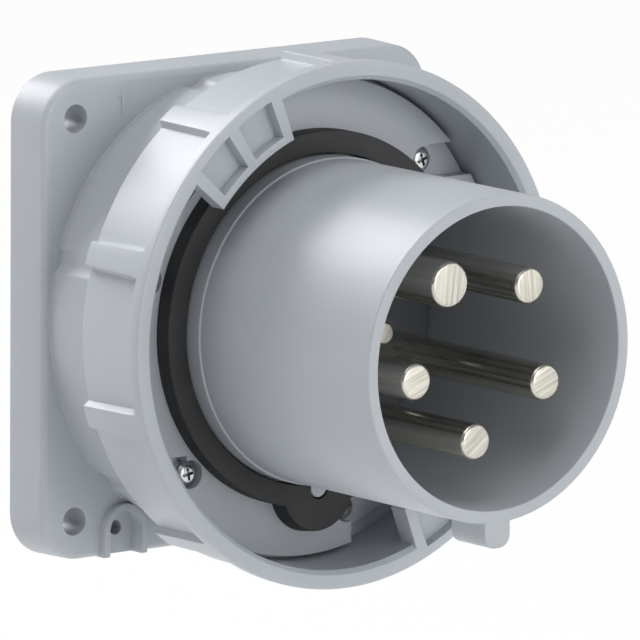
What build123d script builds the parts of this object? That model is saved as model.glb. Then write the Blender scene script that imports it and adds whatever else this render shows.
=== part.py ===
"""Five-pole panel inlet with a bayonet locking ring, in millimetres.

The pins point along -Y, +Z is up, and the flange's back is the plane Y = 0.
"Forward" is the distance in front of that plane, and angles are seen from the front,
counted from +X towards +Z.
"""
import os
from math import asin, cos, degrees, hypot, radians, sin

from build123d import *

# Shroud and its spigot: these sizes drive the others, from the inside out
SHROUD_FLOOR_BORE = 32.0
SHROUD_MOUTH_BORE = SHROUD_FLOOR_BORE + 0.74
SHROUD_WALL = 3.5
SHROUD_RADIUS = SHROUD_FLOOR_BORE + SHROUD_WALL
SHROUD_FRONT = 102.8
SHROUD_MOUTH_EDGE = 0.5
COLLAR_STEP = 0.35
COLLAR_RADIUS = SHROUD_RADIUS + COLLAR_STEP
COLLAR_FRONT = 44.6
KEY_WIDTH = 6.9
KEY_HEIGHT = 5.5
KEY_REACH = SHROUD_RADIUS + KEY_HEIGHT
KEY_LENGTH = 11.5
KEY_CORNER = 3.0
STEP_WIDTH = 2.5
STEP_FORWARD = 32.0
SPIGOT_WALL = 4.5
SPIGOT_BORE = SHROUD_FLOOR_BORE + STEP_WIDTH
SPIGOT_RADIUS = SPIGOT_BORE + SPIGOT_WALL
SPIGOT_REAR = 14.0

# Neck that carries the locking ring
SCREW_BOSS_RADIUS = 4.2
SCREW_BOSS_GAP = 1.5
SCREW_CIRCLE = SPIGOT_RADIUS + SCREW_BOSS_GAP + SCREW_BOSS_RADIUS
SCREW_INSET = 2.5
NECK_WALL = 3.6
NECK_RADIUS = SCREW_CIRCLE + SCREW_INSET + NECK_WALL
NECK_FOOT_STEP = 0.3
NECK_FOOT_LENGTH = 0.5
NECK_DIP_DEPTH = 0.8
NECK_DIP_RADIUS = 3.5
SHOULDER_STEP = 2.2
SHOULDER_RADIUS = NECK_RADIUS + SHOULDER_STEP
SHOULDER_LENGTH = 2.6
RING_AXIAL_PLAY = 0.3
RING_RADIAL_PLAY = 0.08

# Base flange of the shroud, which holds the ring's lip
HUB_STEP = 0.1
HUB_RADIUS = NECK_RADIUS + HUB_STEP
PLATE_OVERHANG = 1.6
PLATE_RADIUS = HUB_RADIUS + PLATE_OVERHANG
PLATE_THICK = 4.7

# Locking ring
RING_LIP_LENGTH = 2.4
RING_LENGTH = 22.06
RING_BORE_GAP = 0.9
RING_BORE_RADIUS = PLATE_RADIUS + RING_BORE_GAP
RING_WALL = 2.4
RING_GRIP_RADIUS = RING_BORE_RADIUS + RING_WALL
RIB_HEIGHT = 1.75
RING_RADIUS = RING_GRIP_RADIUS + RIB_HEIGHT
RING_BAND_LENGTH = 3.2
RING_BAND_RAMP = 2.0
RING_MOUTH_CHAMFER = 1.0
RING_EDGE = 0.6
RIB_COUNT = 10
RIB_FIRST_ANGLE = 161.4
RIB_REAR_WIDTH = 5.0
RIB_FRONT_WIDTH = 6.0
RIB_FLANK = 0.5
CAM_COUNT = 2
CAM_START = 110.3
CAM_SPAN = 30.0
CAM_REACH = 8.7
CAM_INNER_RADIUS = RING_BORE_RADIUS - CAM_REACH
CAM_THICK_START = 5.0
CAM_THICK_END = 3.9
CAM_POCKET_DEPTH = 2.7
CAM_WALL = 3.0
CAM_INNER_WALL = 1.8
CAM_OUTER_WALL = 2.25
CAM_POCKET_OUTER = RING_RADIUS - CAM_OUTER_WALL
STOP_SPAN = 8.0
STOP_GAP = 0.4
RING_TURN = 50.0

# Square flange
FLANGE_MARGIN = 2.1
FLANGE_WIDTH = 2 * (NECK_RADIUS + FLANGE_MARGIN)
FLANGE_THICK = 11.5
FLANGE_CORNER = 10.3
FLANGE_EDGE = 1.5
FLANGE_SKIN = 4.5
FLANGE_RIM = 3.0
HOLE_INSET = 8.85
HOLE_DIAMETER = 6.2
HOLE_BOSS_WALL = 3.0
BACK_FLOOR = 4.5
BACK_SEAL_INSET = 7.0
BACK_SEAL_WIDTH = 3.0
BACK_SEAL_DEPTH = 2.2

# Screws through the shroud's base flange
SCREW_COUNT = 6
SCREW_FIRST_ANGLE = 44.5
SCREW_DIAMETER = 3.5
SCREW_LENGTH = 16.0
SCREW_HEAD_RADIUS = 2.9
SCREW_HEAD_HEIGHT = 2.9
SCREW_HOLE_GAP = 0.08
SCREW_HEAD_GAP = 0.25
SCREW_SLOT_DEPTH = 3.6
SLOT_START = 1.0
SLOT_WIDE_SIDE = 4.2
SLOT_NARROW_SIDE = 3.4
CROSS_WIDTH = 0.8
CROSS_REACH = 1.7
CROSS_DEPTH = 1.4
SLIVER_EDGE = 12.5
RELIEF_START = 134.0
RELIEF_END = 143.5
RELIEF_DEPTH = 9.2

# Rubber face gasket
GASKET_GAP = 0.4
GASKET_WIDTH = 4.95
GASKET_HEIGHT = 4.2
LOBE_OFFSET = 1.15
LOBE_RADIUS = 9.5
POST_RADIUS = 2.1

# Carrier and pins
CARRIER_FRONT = 39.0
CARRIER_REAR = 24.0
CARRIER_GAP = 0.3
PIN_CIRCLE = 18.65
PIN_POLES = 5
EARTH_ANGLE = 120.0
EARTH_DIAMETER = 10.0
LINE_DIAMETER = 8.0
PILOT_DIAMETER = 5.0
PIN_TIP = 97.7
PILOT_TIP = 63.7
PIN_TIP_CHAMFER = 0.8
PIN_BOSS_WALL = 2.6
PIN_BOSS_HEIGHT = 2.5
PIN_FIT = 0.03
PIN_ROOT_STEP = 0.3
PIN_COLLAR_RADIUS = 6.9
PIN_COLLAR_LENGTH = 4.0
PILOT_COLLAR_RADIUS = 4.4
PIN_SEAL_LENGTH = 2.0
PIN_SEAL_WIDTH = 1.4

# Terminals and their holder
TERMINAL_RADIUS = 6.6
TERMINAL_REAR = -20.0
TERMINAL_BORE = 4.6
TERMINAL_BORE_DEPTH = 20.0
PILOT_TERMINAL_RADIUS = 4.0
PILOT_TERMINAL_REAR = -12.0
PILOT_TERMINAL_BORE = 2.0
PILOT_BORE_DEPTH = 12.0
CLAMP_DIAMETER = 6.0
CLAMP_LENGTH = 5.0
CLAMP_FIRST = -15.0
CLAMP_PITCH = 8.5
CLAMP_ACCESS_GAP = 0.6
CLAMP_OPEN_GAP = 0.2
PILOT_CLAMP_DIAMETER = 3.0
PILOT_CLAMP_LENGTH = 3.0
PILOT_CLAMP_FORWARD = -6.0
SLOT_WIDTH = 1.0
SLOT_DEPTH = 1.2
CHAMBER_GAP = 0.3
HOLDER_INSET = 1.0
HOLDER_BACK_GAP = 3.0
HOLDER_REAR = -26.0
HOLDER_FLANGE = 3.5
HOLDER_EDGE = 1.5
ENTRY_FLARE = 1.5
HOLDER_SCREW_COUNT = 4
HOLDER_SCREW_DIAMETER = 2.5
HOLDER_SCREW_LENGTH = 11.0
HOLDER_HEAD_RADIUS = 2.1
HOLDER_HEAD_HEIGHT = 1.6

# Ring seals
BODY_SEAL_WIDTH = 1.6
BODY_SEAL_DEPTH = 1.5
CARRIER_SEAL_WIDTH = 1.4
CARRIER_SEAL_DEPTH = 1.3

# Arched pocket and arrow on the flange
ARCH_X = -31.2
ARCH_INNER_RADIUS = 4.4
ARCH_WALL = 1.4
ARCH_CENTRE_HEIGHT = 5.8
ARCH_RISE = 1.8
ARCH_POCKET_DEPTH = 4.1
ARCH_HOLE_RADIUS = 1.6
ARCH_HOLE_DEPTH = 7.0
ARCH_BOSS_WALL = 2.0
ARROW_INSET = 3.2
ARROW_LENGTH = 5.7
ARROW_STEM = 0.8
ARROW_HEAD = 3.0
ARROW_HEAD_LENGTH = 1.5
ARROW_RISE = 0.3

# Places along the axis that follow from the sizes above
SHOULDER_FORWARD = 29.1
RING_REAR = SHOULDER_FORWARD + RING_AXIAL_PLAY
RING_FRONT = RING_REAR + RING_LENGTH
LIP_FRONT = RING_REAR + RING_LIP_LENGTH
PLATE_REAR = LIP_FRONT + RING_AXIAL_PLAY
PLATE_FRONT = PLATE_REAR + PLATE_THICK
SLOT_FLOOR = PLATE_FRONT - SCREW_SLOT_DEPTH
GASKET_INNER = COLLAR_RADIUS + GASKET_GAP
GASKET_OUTER = GASKET_INNER + GASKET_WIDTH
LOBE_CENTRE = COLLAR_RADIUS + LOBE_OFFSET
RELIEF_RADIUS = PLATE_RADIUS - RELIEF_DEPTH
BODY_SEAL_RADIUS = NECK_RADIUS - NECK_WALL / 2
HOLDER_RADIUS = SPIGOT_BORE - HOLDER_INSET
HOLDER_SCREW_CIRCLE = SPIGOT_BORE + SPIGOT_WALL / 2
BACK_OPENING_RADIUS = HOLDER_RADIUS + HOLDER_BACK_GAP
BACK_SEAL_RADIUS = BACK_OPENING_RADIUS + BACK_SEAL_INSET
PLATE_EDGE_Z = (PLATE_RADIUS ** 2 - SLIVER_EDGE ** 2) ** 0.5
HALF_WIDTH = FLANGE_WIDTH / 2
HALF_SPACING = HALF_WIDTH - HOLE_INSET
ARCH_CENTRE_Z = -HALF_WIDTH + ARCH_CENTRE_HEIGHT
POLE_ANGLES = [EARTH_ANGLE - i * 360 / PIN_POLES for i in range(PIN_POLES)]
SCREW_ANGLES = [SCREW_FIRST_ANGLE + i * 360 / SCREW_COUNT for i in range(SCREW_COUNT)]
HOLDER_SCREW_ANGLES = [45 + i * 360 / HOLDER_SCREW_COUNT for i in range(HOLDER_SCREW_COUNT)]
PILOT_CLAMP_ANGLE = EARTH_ANGLE - 1.5 * 360 / PIN_POLES
COVER = 1.0


def turned(points):
    """A solid of revolution about the inlet's axis, from (radius, forward) points."""
    outline = Polyline(*[(radius, -forward) for radius, forward in points], close=True)
    return revolve(make_face(outline), Axis.Y)


def disc(radius, rear, front, x=0.0, z=0.0):
    """A round bar along the axis, from rear to front."""
    bar = Cylinder(radius, front - rear, rotation=(90, 0, 0))
    return Pos(x, -(front + rear) / 2, z) * bar


def tube(outer, inner, rear, front):
    """A plain ring about the inlet's axis."""
    return disc(outer, rear, front) - disc(inner, rear - COVER, front + COVER)


def block(x_low, x_high, z_low, z_high, rear, front):
    """A rectangular block given by its limits."""
    box = Box(x_high - x_low, front - rear, z_high - z_low)
    return Pos((x_low + x_high) / 2, -(rear + front) / 2, (z_low + z_high) / 2) * box


def front_prism(sketch, rear, front):
    """A sketch drawn in X and Z, as seen from the front, made solid from rear to front."""
    plane = Plane(origin=(0, -rear, 0), x_dir=(1, 0, 0), z_dir=(0, -1, 0))
    return extrude(plane * sketch, amount=front - rear)


def on_circle(radius, angle):
    """X and Z of a point on a circle about the axis."""
    return radius * cos(radians(angle)), radius * sin(radians(angle))


def spun(solid, angle):
    """A solid turned about the axis, counter-clockwise as seen from the front."""
    return Rot(0, -angle, 0) * solid


def wedge(start, end, inner, outer, rear, front):
    """The part of a ring between two angles."""
    reach = outer + COVER
    steps = [start + (end - start) * i / 4 for i in range(5)]
    far = reach / cos(radians((end - start) / 8))
    corners = [(0, 0)] + [on_circle(far, angle) for angle in steps]
    slice_ = front_prism(make_face(Polyline(*corners, close=True)), rear, front)
    return tube(outer, inner, rear, front) & slice_


def circles_at(solid, radius, forward, tolerance=0.02):
    """The round edges of a solid about its axis with this radius, at this place along it."""
    found = []
    for edge in solid.edges().filter_by(GeomType.CIRCLE):
        centre = edge.arc_center
        near_axis = hypot(centre.X, centre.Z) < tolerance
        if near_axis and abs(edge.radius - radius) < tolerance and abs(-centre.Y - forward) < tolerance:
            found.append(edge)
    return found


def save(name, shape):
    """Write one node."""
    export_step(shape, f"parts/{name}.step")
    return shape


def rounded_square(width, corner):
    return RectangleRounded(width, width, corner)


def hole_places():
    signs = [(-1, -1), (1, -1), (1, 1), (-1, 1)]
    return [(sx * HALF_SPACING, sz * HALF_SPACING) for sx, sz in signs]


def flange_plate():
    """The square flange, cored out from behind at its corners."""
    plate = front_prism(rounded_square(FLANGE_WIDTH, FLANGE_CORNER), 0, FLANGE_THICK)
    front_rim = plate.faces().sort_by(Axis.Y)[0].edges()
    plate = fillet(front_rim, FLANGE_EDGE)
    hollow_width = FLANGE_WIDTH - 2 * FLANGE_RIM
    hollow = rounded_square(hollow_width, FLANGE_CORNER - FLANGE_RIM) - Circle(NECK_RADIUS)
    boss_radius = HOLE_DIAMETER / 2 + HOLE_BOSS_WALL
    for x, z in hole_places():
        hollow = hollow - Pos(x, z) * Circle(boss_radius)
    return plate - front_prism(hollow, -COVER, FLANGE_THICK - FLANGE_SKIN)


def arch_outline(radius, foot):
    """A round-topped outline, reaching down to the height of its foot."""
    legs = Pos(ARCH_X, (foot + ARCH_CENTRE_Z) / 2) * Rectangle(2 * radius, ARCH_CENTRE_Z - foot)
    return Pos(ARCH_X, ARCH_CENTRE_Z) * Circle(radius) + legs


def arch():
    """Raised rim of the arched pocket, and the space inside it."""
    rim_front = FLANGE_THICK + ARCH_RISE
    outer = ARCH_INNER_RADIUS + ARCH_WALL
    rim = front_prism(arch_outline(outer, -HALF_WIDTH), FLANGE_THICK - FLANGE_SKIN, rim_front)
    floor = rim_front - ARCH_POCKET_DEPTH
    boss_radius = ARCH_HOLE_RADIUS + ARCH_BOSS_WALL
    rim += disc(boss_radius, 0, FLANGE_THICK - FLANGE_SKIN + COVER, ARCH_X, ARCH_CENTRE_Z)
    space = front_prism(arch_outline(ARCH_INNER_RADIUS, -HALF_WIDTH - COVER), floor, rim_front + COVER)
    space += disc(ARCH_HOLE_RADIUS, floor - ARCH_HOLE_DEPTH, floor + COVER, ARCH_X, ARCH_CENTRE_Z)
    return rim, space


def arrow():
    """A plain arrow that marks the top."""
    half_stem = ARROW_STEM / 2
    half_head = ARROW_HEAD / 2
    tip = HALF_WIDTH - ARROW_INSET
    foot = tip - ARROW_LENGTH
    neck = tip - ARROW_HEAD_LENGTH
    points = [
        (ARCH_X, tip),
        (ARCH_X - half_head, neck),
        (ARCH_X - half_stem, neck),
        (ARCH_X - half_stem, foot),
        (ARCH_X + half_stem, foot),
        (ARCH_X + half_stem, neck),
        (ARCH_X + half_head, neck),
    ]
    outline = make_face(Polyline(*points, close=True))
    return front_prism(outline, FLANGE_THICK - ARROW_RISE, FLANGE_THICK + ARROW_RISE)


def neck_dips():
    """Shallow hollows along the neck, one in front of each screw boss."""
    bars = None
    for angle in SCREW_ANGLES:
        x, z = on_circle(NECK_RADIUS - NECK_DIP_DEPTH + NECK_DIP_RADIUS, angle)
        dip = disc(NECK_DIP_RADIUS, FLANGE_THICK, SHOULDER_FORWARD, x, z)
        bars = dip if bars is None else bars + dip
    return bars


def flange_housing():
    """Square flange, round neck with its shoulder, and the screw bosses inside the neck."""
    inner = NECK_RADIUS - NECK_WALL
    neck = tube(NECK_RADIUS, inner, 0, SHOULDER_FORWARD)
    shoulder = tube(SHOULDER_RADIUS, inner, SHOULDER_FORWARD - SHOULDER_LENGTH, SHOULDER_FORWARD)
    body = flange_plate() - disc(inner, -COVER, FLANGE_THICK + COVER)
    foot_front = FLANGE_THICK + NECK_FOOT_LENGTH
    foot = tube(NECK_RADIUS + NECK_FOOT_STEP, inner, FLANGE_THICK - COVER, foot_front)
    neck = (neck + foot) - neck_dips()
    body = body + neck + shoulder + tube(inner + COVER, BACK_OPENING_RADIUS, 0, BACK_FLOOR)
    for angle in SCREW_ANGLES:
        x, z = on_circle(SCREW_CIRCLE, angle)
        boss = disc(SCREW_BOSS_RADIUS, BACK_FLOOR - COVER, SHOULDER_FORWARD, x, z)
        body = body + boss
    for angle in SCREW_ANGLES:
        x, z = on_circle(SCREW_CIRCLE, angle)
        hole_radius = SCREW_DIAMETER / 2 + SCREW_HOLE_GAP
        body = body - disc(hole_radius, SLOT_FLOOR - SCREW_LENGTH - COVER, SHOULDER_FORWARD + COVER, x, z)
    rim, space = arch()
    body = body + (rim - disc(NECK_RADIUS - COVER, 0, SHOULDER_FORWARD))
    body = body - space
    body = body + arrow()
    for x, z in hole_places():
        body = body - disc(HOLE_DIAMETER / 2, -COVER, FLANGE_THICK + COVER, x, z)
    seal_inner = BACK_SEAL_RADIUS - BACK_SEAL_WIDTH / 2
    body = body - tube(seal_inner + BACK_SEAL_WIDTH, seal_inner, -COVER, BACK_SEAL_DEPTH)
    groove_inner = BODY_SEAL_RADIUS - BODY_SEAL_WIDTH / 2
    groove_floor = SHOULDER_FORWARD - BODY_SEAL_DEPTH
    return body - tube(groove_inner + BODY_SEAL_WIDTH, groove_inner, groove_floor, SHOULDER_FORWARD + COVER)


def flange_gasket():
    inner = BACK_SEAL_RADIUS - BACK_SEAL_WIDTH / 2
    return tube(inner + BACK_SEAL_WIDTH, inner, 0, BACK_SEAL_DEPTH)


def body_seal():
    inner = BODY_SEAL_RADIUS - BODY_SEAL_WIDTH / 2
    return tube(inner + BODY_SEAL_WIDTH, inner, SHOULDER_FORWARD - BODY_SEAL_DEPTH, SHOULDER_FORWARD)


def ring_shell():
    """The turned form of the locking ring, with its bearing lip at the back."""
    lip_bore = HUB_RADIUS + RING_RADIAL_PLAY
    shell = turned([
        (lip_bore, RING_REAR),
        (RING_RADIUS, RING_REAR),
        (RING_RADIUS, RING_FRONT),
        (RING_BORE_RADIUS + RING_MOUTH_CHAMFER, RING_FRONT),
        (RING_BORE_RADIUS, RING_FRONT - RING_MOUTH_CHAMFER),
        (RING_BORE_RADIUS, LIP_FRONT),
        (lip_bore, LIP_FRONT),
    ])
    return fillet(circles_at(shell, RING_RADIUS, RING_FRONT), RING_EDGE)


def grip_rib(rear, front):
    """A tapered rib at 3 o'clock, reaching past the grip grooves on every side."""
    flank = RIB_FLANK / (RING_RADIUS - RING_GRIP_RADIUS)
    top = RING_RADIUS + 2 * COVER
    base = RING_GRIP_RADIUS - COVER
    sections = []
    for forward, width in [(rear, RIB_REAR_WIDTH), (front, RIB_FRONT_WIDTH)]:
        half_top = width / 2 - 2 * COVER * flank
        half_base = half_top + (top - base) * flank
        corners = [(base, -half_base), (top, -half_top), (top, half_top), (base, half_base)]
        sections.append(make_face(Polyline(*[(x, -forward, z) for x, z in corners], close=True)))
    return loft(sections)


def grip_grooves():
    """The hollows between the ribs, running out at the front band."""
    band_rear = RING_FRONT - RING_BAND_LENGTH
    run_out = RING_BAND_RAMP / (RING_RADIUS - RING_GRIP_RADIUS) * COVER
    rear = RING_REAR - COVER
    grooves = turned([
        (RING_GRIP_RADIUS, rear),
        (RING_RADIUS + COVER, rear),
        (RING_RADIUS + COVER, band_rear + run_out),
        (RING_GRIP_RADIUS, band_rear - RING_BAND_RAMP),
    ])
    rib = grip_rib(rear - COVER, band_rear + run_out + COVER)
    return grooves - [spun(rib, RIB_FIRST_ANGLE + i * 360 / RIB_COUNT) for i in range(RIB_COUNT)]


def bayonet_cam():
    """One cam with its sloping back, and its two pockets, starting at the angle CAM_START."""
    low = CAM_INNER_RADIUS * cos(radians(CAM_SPAN / 2)) - COVER
    high = RING_RADIUS / cos(radians(CAM_SPAN / 2))
    sections = []
    for angle, thick in [(CAM_START, CAM_THICK_START), (CAM_START + CAM_SPAN, CAM_THICK_END)]:
        x, z = on_circle(1, angle)
        rear = RING_FRONT - thick
        corners = [(low, rear), (high, rear), (high, RING_FRONT), (low, RING_FRONT)]
        sections.append(make_face(Polyline(*[(r * x, -f, r * z) for r, f in corners], close=True)))
    cam = loft(sections, ruled=True)
    cam = cam & tube(RING_BORE_RADIUS + COVER, CAM_INNER_RADIUS, RING_REAR, RING_FRONT)
    pocket_span = (CAM_SPAN - 3 * CAM_WALL) / 2
    inner = CAM_INNER_RADIUS + CAM_INNER_WALL
    pockets = []
    for i in range(2):
        start = CAM_START + CAM_WALL + i * (pocket_span + CAM_WALL)
        floor = RING_FRONT - CAM_POCKET_DEPTH
        end = start + pocket_span
        pockets.append(wedge(start, end, inner, CAM_POCKET_OUTER, floor, RING_FRONT + COVER))
    return cam, pockets


def stop_angles():
    """Where the ring's stop stands at rest, and the recess it travels in."""
    gap = degrees(asin(STOP_GAP / HUB_RADIUS))
    recess_start = 360 - degrees(asin(PLATE_EDGE_Z / PLATE_RADIUS))
    stop_start = recess_start + gap + RING_TURN
    recess_end = stop_start + STOP_SPAN + gap
    return stop_start, recess_start, recess_end


def locking_ring():
    """Bayonet ring with grip ribs, cams and stops."""
    ring = ring_shell() - grip_grooves()
    cam, pockets = bayonet_cam()
    stop_start = stop_angles()[0]
    inner = HUB_RADIUS + RING_RADIAL_PLAY
    outer = RING_BORE_RADIUS + COVER
    stop = wedge(stop_start, stop_start + STOP_SPAN, inner, outer, LIP_FRONT, PLATE_FRONT)
    for i in range(CAM_COUNT):
        turn = i * 360 / CAM_COUNT
        ring = ring + spun(cam, turn) + spun(stop, turn)
        for pocket in pockets:
            ring = ring - spun(pocket, turn)
    return ring


def screw_slots():
    """Side-opening slots in the base flange, with a round end for each screw head."""
    cut = None
    for angle in SCREW_ANGLES:
        x, z = on_circle(SCREW_CIRCLE, angle)
        side = 1 if x > 0 else -1
        far = side * (PLATE_RADIUS + COVER)
        low, high = sorted((x + side * SLOT_START, far))
        z_low, z_high = sorted((z - side * SLOT_WIDE_SIDE, z + side * SLOT_NARROW_SIDE))
        slot = block(low, high, z_low, z_high, SLOT_FLOOR, PLATE_FRONT + COVER)
        slot = slot + disc(SCREW_HEAD_RADIUS + SCREW_HEAD_GAP, SLOT_FLOOR, PLATE_FRONT + COVER, x, z)
        slot = slot + disc(SCREW_DIAMETER / 2 + SCREW_HOLE_GAP, 0, SLOT_FLOOR + COVER, x, z)
        cut = slot if cut is None else cut + slot
    return cut


def key_nose():
    """The polarising nose under the shroud's mouth."""
    half = KEY_WIDTH / 2
    outline = Rectangle(KEY_WIDTH, KEY_REACH - SHROUD_MOUTH_BORE - COVER)
    outline = Pos(0, -(KEY_REACH + SHROUD_MOUTH_BORE + COVER) / 2) * outline
    lowest = outline.vertices().group_by(Axis.Y)[0]
    outline = fillet(lowest, min(KEY_CORNER, half - 0.1))
    return front_prism(outline, SHROUD_FRONT - KEY_LENGTH, SHROUD_FRONT)


def pin_shroud():
    """Tube, collar, key nose and the base flange with its spigot, in one moulding."""
    body = turned([
        (SPIGOT_BORE, SPIGOT_REAR),
        (SPIGOT_RADIUS, SPIGOT_REAR),
        (SPIGOT_RADIUS, SHOULDER_FORWARD),
        (HUB_RADIUS, SHOULDER_FORWARD),
        (HUB_RADIUS, PLATE_REAR),
        (PLATE_RADIUS, PLATE_REAR),
        (PLATE_RADIUS, PLATE_FRONT),
        (COLLAR_RADIUS, PLATE_FRONT),
        (COLLAR_RADIUS, COLLAR_FRONT),
        (SHROUD_RADIUS, COLLAR_FRONT + 0.3),
        (SHROUD_RADIUS, SHROUD_FRONT),
        (SHROUD_MOUTH_BORE, SHROUD_FRONT),
        (SHROUD_FLOOR_BORE, CARRIER_FRONT),
        (SHROUD_FLOOR_BORE, STEP_FORWARD),
        (SPIGOT_BORE, STEP_FORWARD),
    ])
    body = body + key_nose()
    rim = circles_at(body, SHROUD_RADIUS, SHROUD_FRONT) + circles_at(body, SHROUD_MOUTH_BORE, SHROUD_FRONT)
    body = chamfer(rim, SHROUD_MOUTH_EDGE)
    body = body - screw_slots()
    recess_start, recess_end = stop_angles()[1:]
    recess_floor = HUB_RADIUS - 2 * STOP_GAP
    past = PLATE_RADIUS + COVER
    above = PLATE_FRONT + COVER
    recess = wedge(recess_start, recess_end, recess_floor, past, PLATE_REAR, above)
    sliver = block(SLIVER_EDGE, PLATE_RADIUS, -PLATE_RADIUS, -SCREW_CIRCLE, SLOT_FLOOR, above)
    for turn in (0, 180):
        body = body - spun(recess, turn) - spun(sliver, turn)
    relief = wedge(RELIEF_START, RELIEF_END, RELIEF_RADIUS, past, SLOT_FLOOR, above)
    body = body - relief
    body = body + disc(POST_RADIUS, PLATE_FRONT - COVER, PLATE_FRONT + GASKET_HEIGHT, 0, -LOBE_CENTRE)
    return body - disc(SHROUD_FLOOR_BORE, STEP_FORWARD, SHROUD_FRONT + COVER)


def face_gasket():
    """Flat rubber ring with its lobe, and a hole for the locating post."""
    front = PLATE_FRONT + GASKET_HEIGHT
    outline = Circle(GASKET_OUTER) + Pos(0, -LOBE_CENTRE) * Circle(LOBE_RADIUS)
    outline = outline - Circle(GASKET_INNER) - Pos(0, -LOBE_CENTRE) * Circle(POST_RADIUS + GASKET_GAP)
    return front_prism(outline, PLATE_FRONT, front)


def cross_head_screw(x, z, seat, diameter, length, head_radius, head_height):
    """A pan-head screw with a cross recess, driven in from the front."""
    crown = head_height * 0.35
    head = disc(head_radius, seat, seat + head_height, x, z)
    head = chamfer(head.edges().group_by(Axis.Y)[0], crown)
    half = CROSS_WIDTH / 2
    floor = seat + head_height - CROSS_DEPTH
    cross = block(x - CROSS_REACH, x + CROSS_REACH, z - half, z + half, floor, seat + head_height)
    cross = cross + block(x - half, x + half, z - CROSS_REACH, z + CROSS_REACH, floor, seat + head_height)
    return head - cross + disc(diameter / 2, seat - length, seat, x, z)


def shroud_screws():
    screws = []
    for angle in SCREW_ANGLES:
        x, z = on_circle(SCREW_CIRCLE, angle)
        screws.append(cross_head_screw(
            x, z, SLOT_FLOOR, SCREW_DIAMETER, SCREW_LENGTH, SCREW_HEAD_RADIUS, SCREW_HEAD_HEIGHT))
    return Compound(children=screws)


def pin_radius(index):
    """Shaft radius of a main pin: the first one is the earth pin."""
    return (EARTH_DIAMETER if index == 0 else LINE_DIAMETER) / 2


def pin_places():
    """X, Z and shaft radius of the five main pins and, last, of the pilot pin."""
    places = [on_circle(PIN_CIRCLE, angle) + (pin_radius(i),) for i, angle in enumerate(POLE_ANGLES)]
    return places + [(0.0, 0.0, PILOT_DIAMETER / 2)]


def collar_radius(index):
    return PIN_COLLAR_RADIUS if index < PIN_POLES else PILOT_COLLAR_RADIUS


def boss_front():
    """The front of the carrier's bosses, where the pins' thicker roots end."""
    return CARRIER_FRONT + PIN_BOSS_HEIGHT


def contact_carrier():
    """Insert with a raised boss round each pin, stepped to sit behind the shroud's shoulder."""
    outer = SPIGOT_BORE - CARRIER_GAP
    nose = SHROUD_FLOOR_BORE - CARRIER_GAP
    body = turned([
        (0, CARRIER_REAR),
        (outer, CARRIER_REAR),
        (outer, STEP_FORWARD),
        (nose, STEP_FORWARD),
        (nose, CARRIER_FRONT),
        (0, CARRIER_FRONT),
    ])
    for x, z, radius in pin_places():
        boss = disc(radius + PIN_BOSS_WALL, CARRIER_FRONT - COVER, boss_front(), x, z)
        body = body + boss
    collar_front = CARRIER_REAR + PIN_COLLAR_LENGTH
    for i, (x, z, radius) in enumerate(pin_places()):
        root = radius + PIN_ROOT_STEP
        hole = disc(root + PIN_FIT, CARRIER_REAR - COVER, boss_front() + COVER, x, z)
        seal_room = disc(root + PIN_SEAL_WIDTH, CARRIER_REAR, collar_front + PIN_SEAL_LENGTH, x, z)
        collar_room = disc(collar_radius(i) + CARRIER_GAP, CARRIER_REAR - COVER, collar_front, x, z)
        body = body - hole - seal_room - collar_room
    groove = tube(carrier_seal_outer(), carrier_seal_outer() - CARRIER_SEAL_WIDTH,
                  STEP_FORWARD - CARRIER_SEAL_DEPTH, STEP_FORWARD + COVER)
    return body - groove


def carrier_seal_outer():
    """The seal's outer radius: midway on the step between the two bores."""
    return (SPIGOT_BORE + SHROUD_FLOOR_BORE + CARRIER_SEAL_WIDTH) / 2


def carrier_seal():
    outer = carrier_seal_outer()
    return tube(outer, outer - CARRIER_SEAL_WIDTH, STEP_FORWARD - CARRIER_SEAL_DEPTH, STEP_FORWARD)


def pin_seals():
    seals = []
    rear = CARRIER_REAR + PIN_COLLAR_LENGTH
    for x, z, radius in pin_places():
        root = radius + PIN_ROOT_STEP
        ring = disc(root + PIN_SEAL_WIDTH, rear, rear + PIN_SEAL_LENGTH, x, z)
        seals.append(ring - disc(root + PIN_FIT, rear - COVER, rear + PIN_SEAL_LENGTH + COVER, x, z))
    return Compound(children=seals)


def clamp_places():
    """Forward positions of the two clamping screws on a main terminal."""
    return [CLAMP_FIRST, CLAMP_FIRST + CLAMP_PITCH]


def radial_bar(radius, angle, near, far, forward):
    """A round bar that points away from the axis."""
    bar = Pos((near + far) / 2, -forward, 0) * Cylinder(radius, far - near, rotation=(0, 90, 0))
    return spun(bar, angle)


def main_pin(index):
    """One main pin, turned in one piece with its terminal. It is built at the left, where its
    clamping holes point to -X, and then spun to its pole."""
    radius = pin_radius(index)
    x = -PIN_CIRCLE
    collar_front = CARRIER_REAR + PIN_COLLAR_LENGTH
    shaft = disc(radius, collar_front - COVER, PIN_TIP, x, 0)
    shaft = chamfer(shaft.edges().group_by(Axis.Y)[0], PIN_TIP_CHAMFER)
    root = disc(radius + PIN_ROOT_STEP, collar_front - COVER, boss_front(), x, 0)
    pin = shaft + root + disc(PIN_COLLAR_RADIUS, CARRIER_REAR, collar_front, x, 0)
    pin = pin + disc(TERMINAL_RADIUS, TERMINAL_REAR, CARRIER_REAR, x, 0)
    pin = pin - disc(TERMINAL_BORE, TERMINAL_REAR - COVER, TERMINAL_REAR + TERMINAL_BORE_DEPTH, x, 0)
    for forward in clamp_places():
        pin = pin - radial_bar(CLAMP_DIAMETER / 2 + PIN_FIT, 180, PIN_CIRCLE,
                               PIN_CIRCLE + TERMINAL_RADIUS + COVER, forward)
    return spun(pin, POLE_ANGLES[index] - 180)


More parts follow.
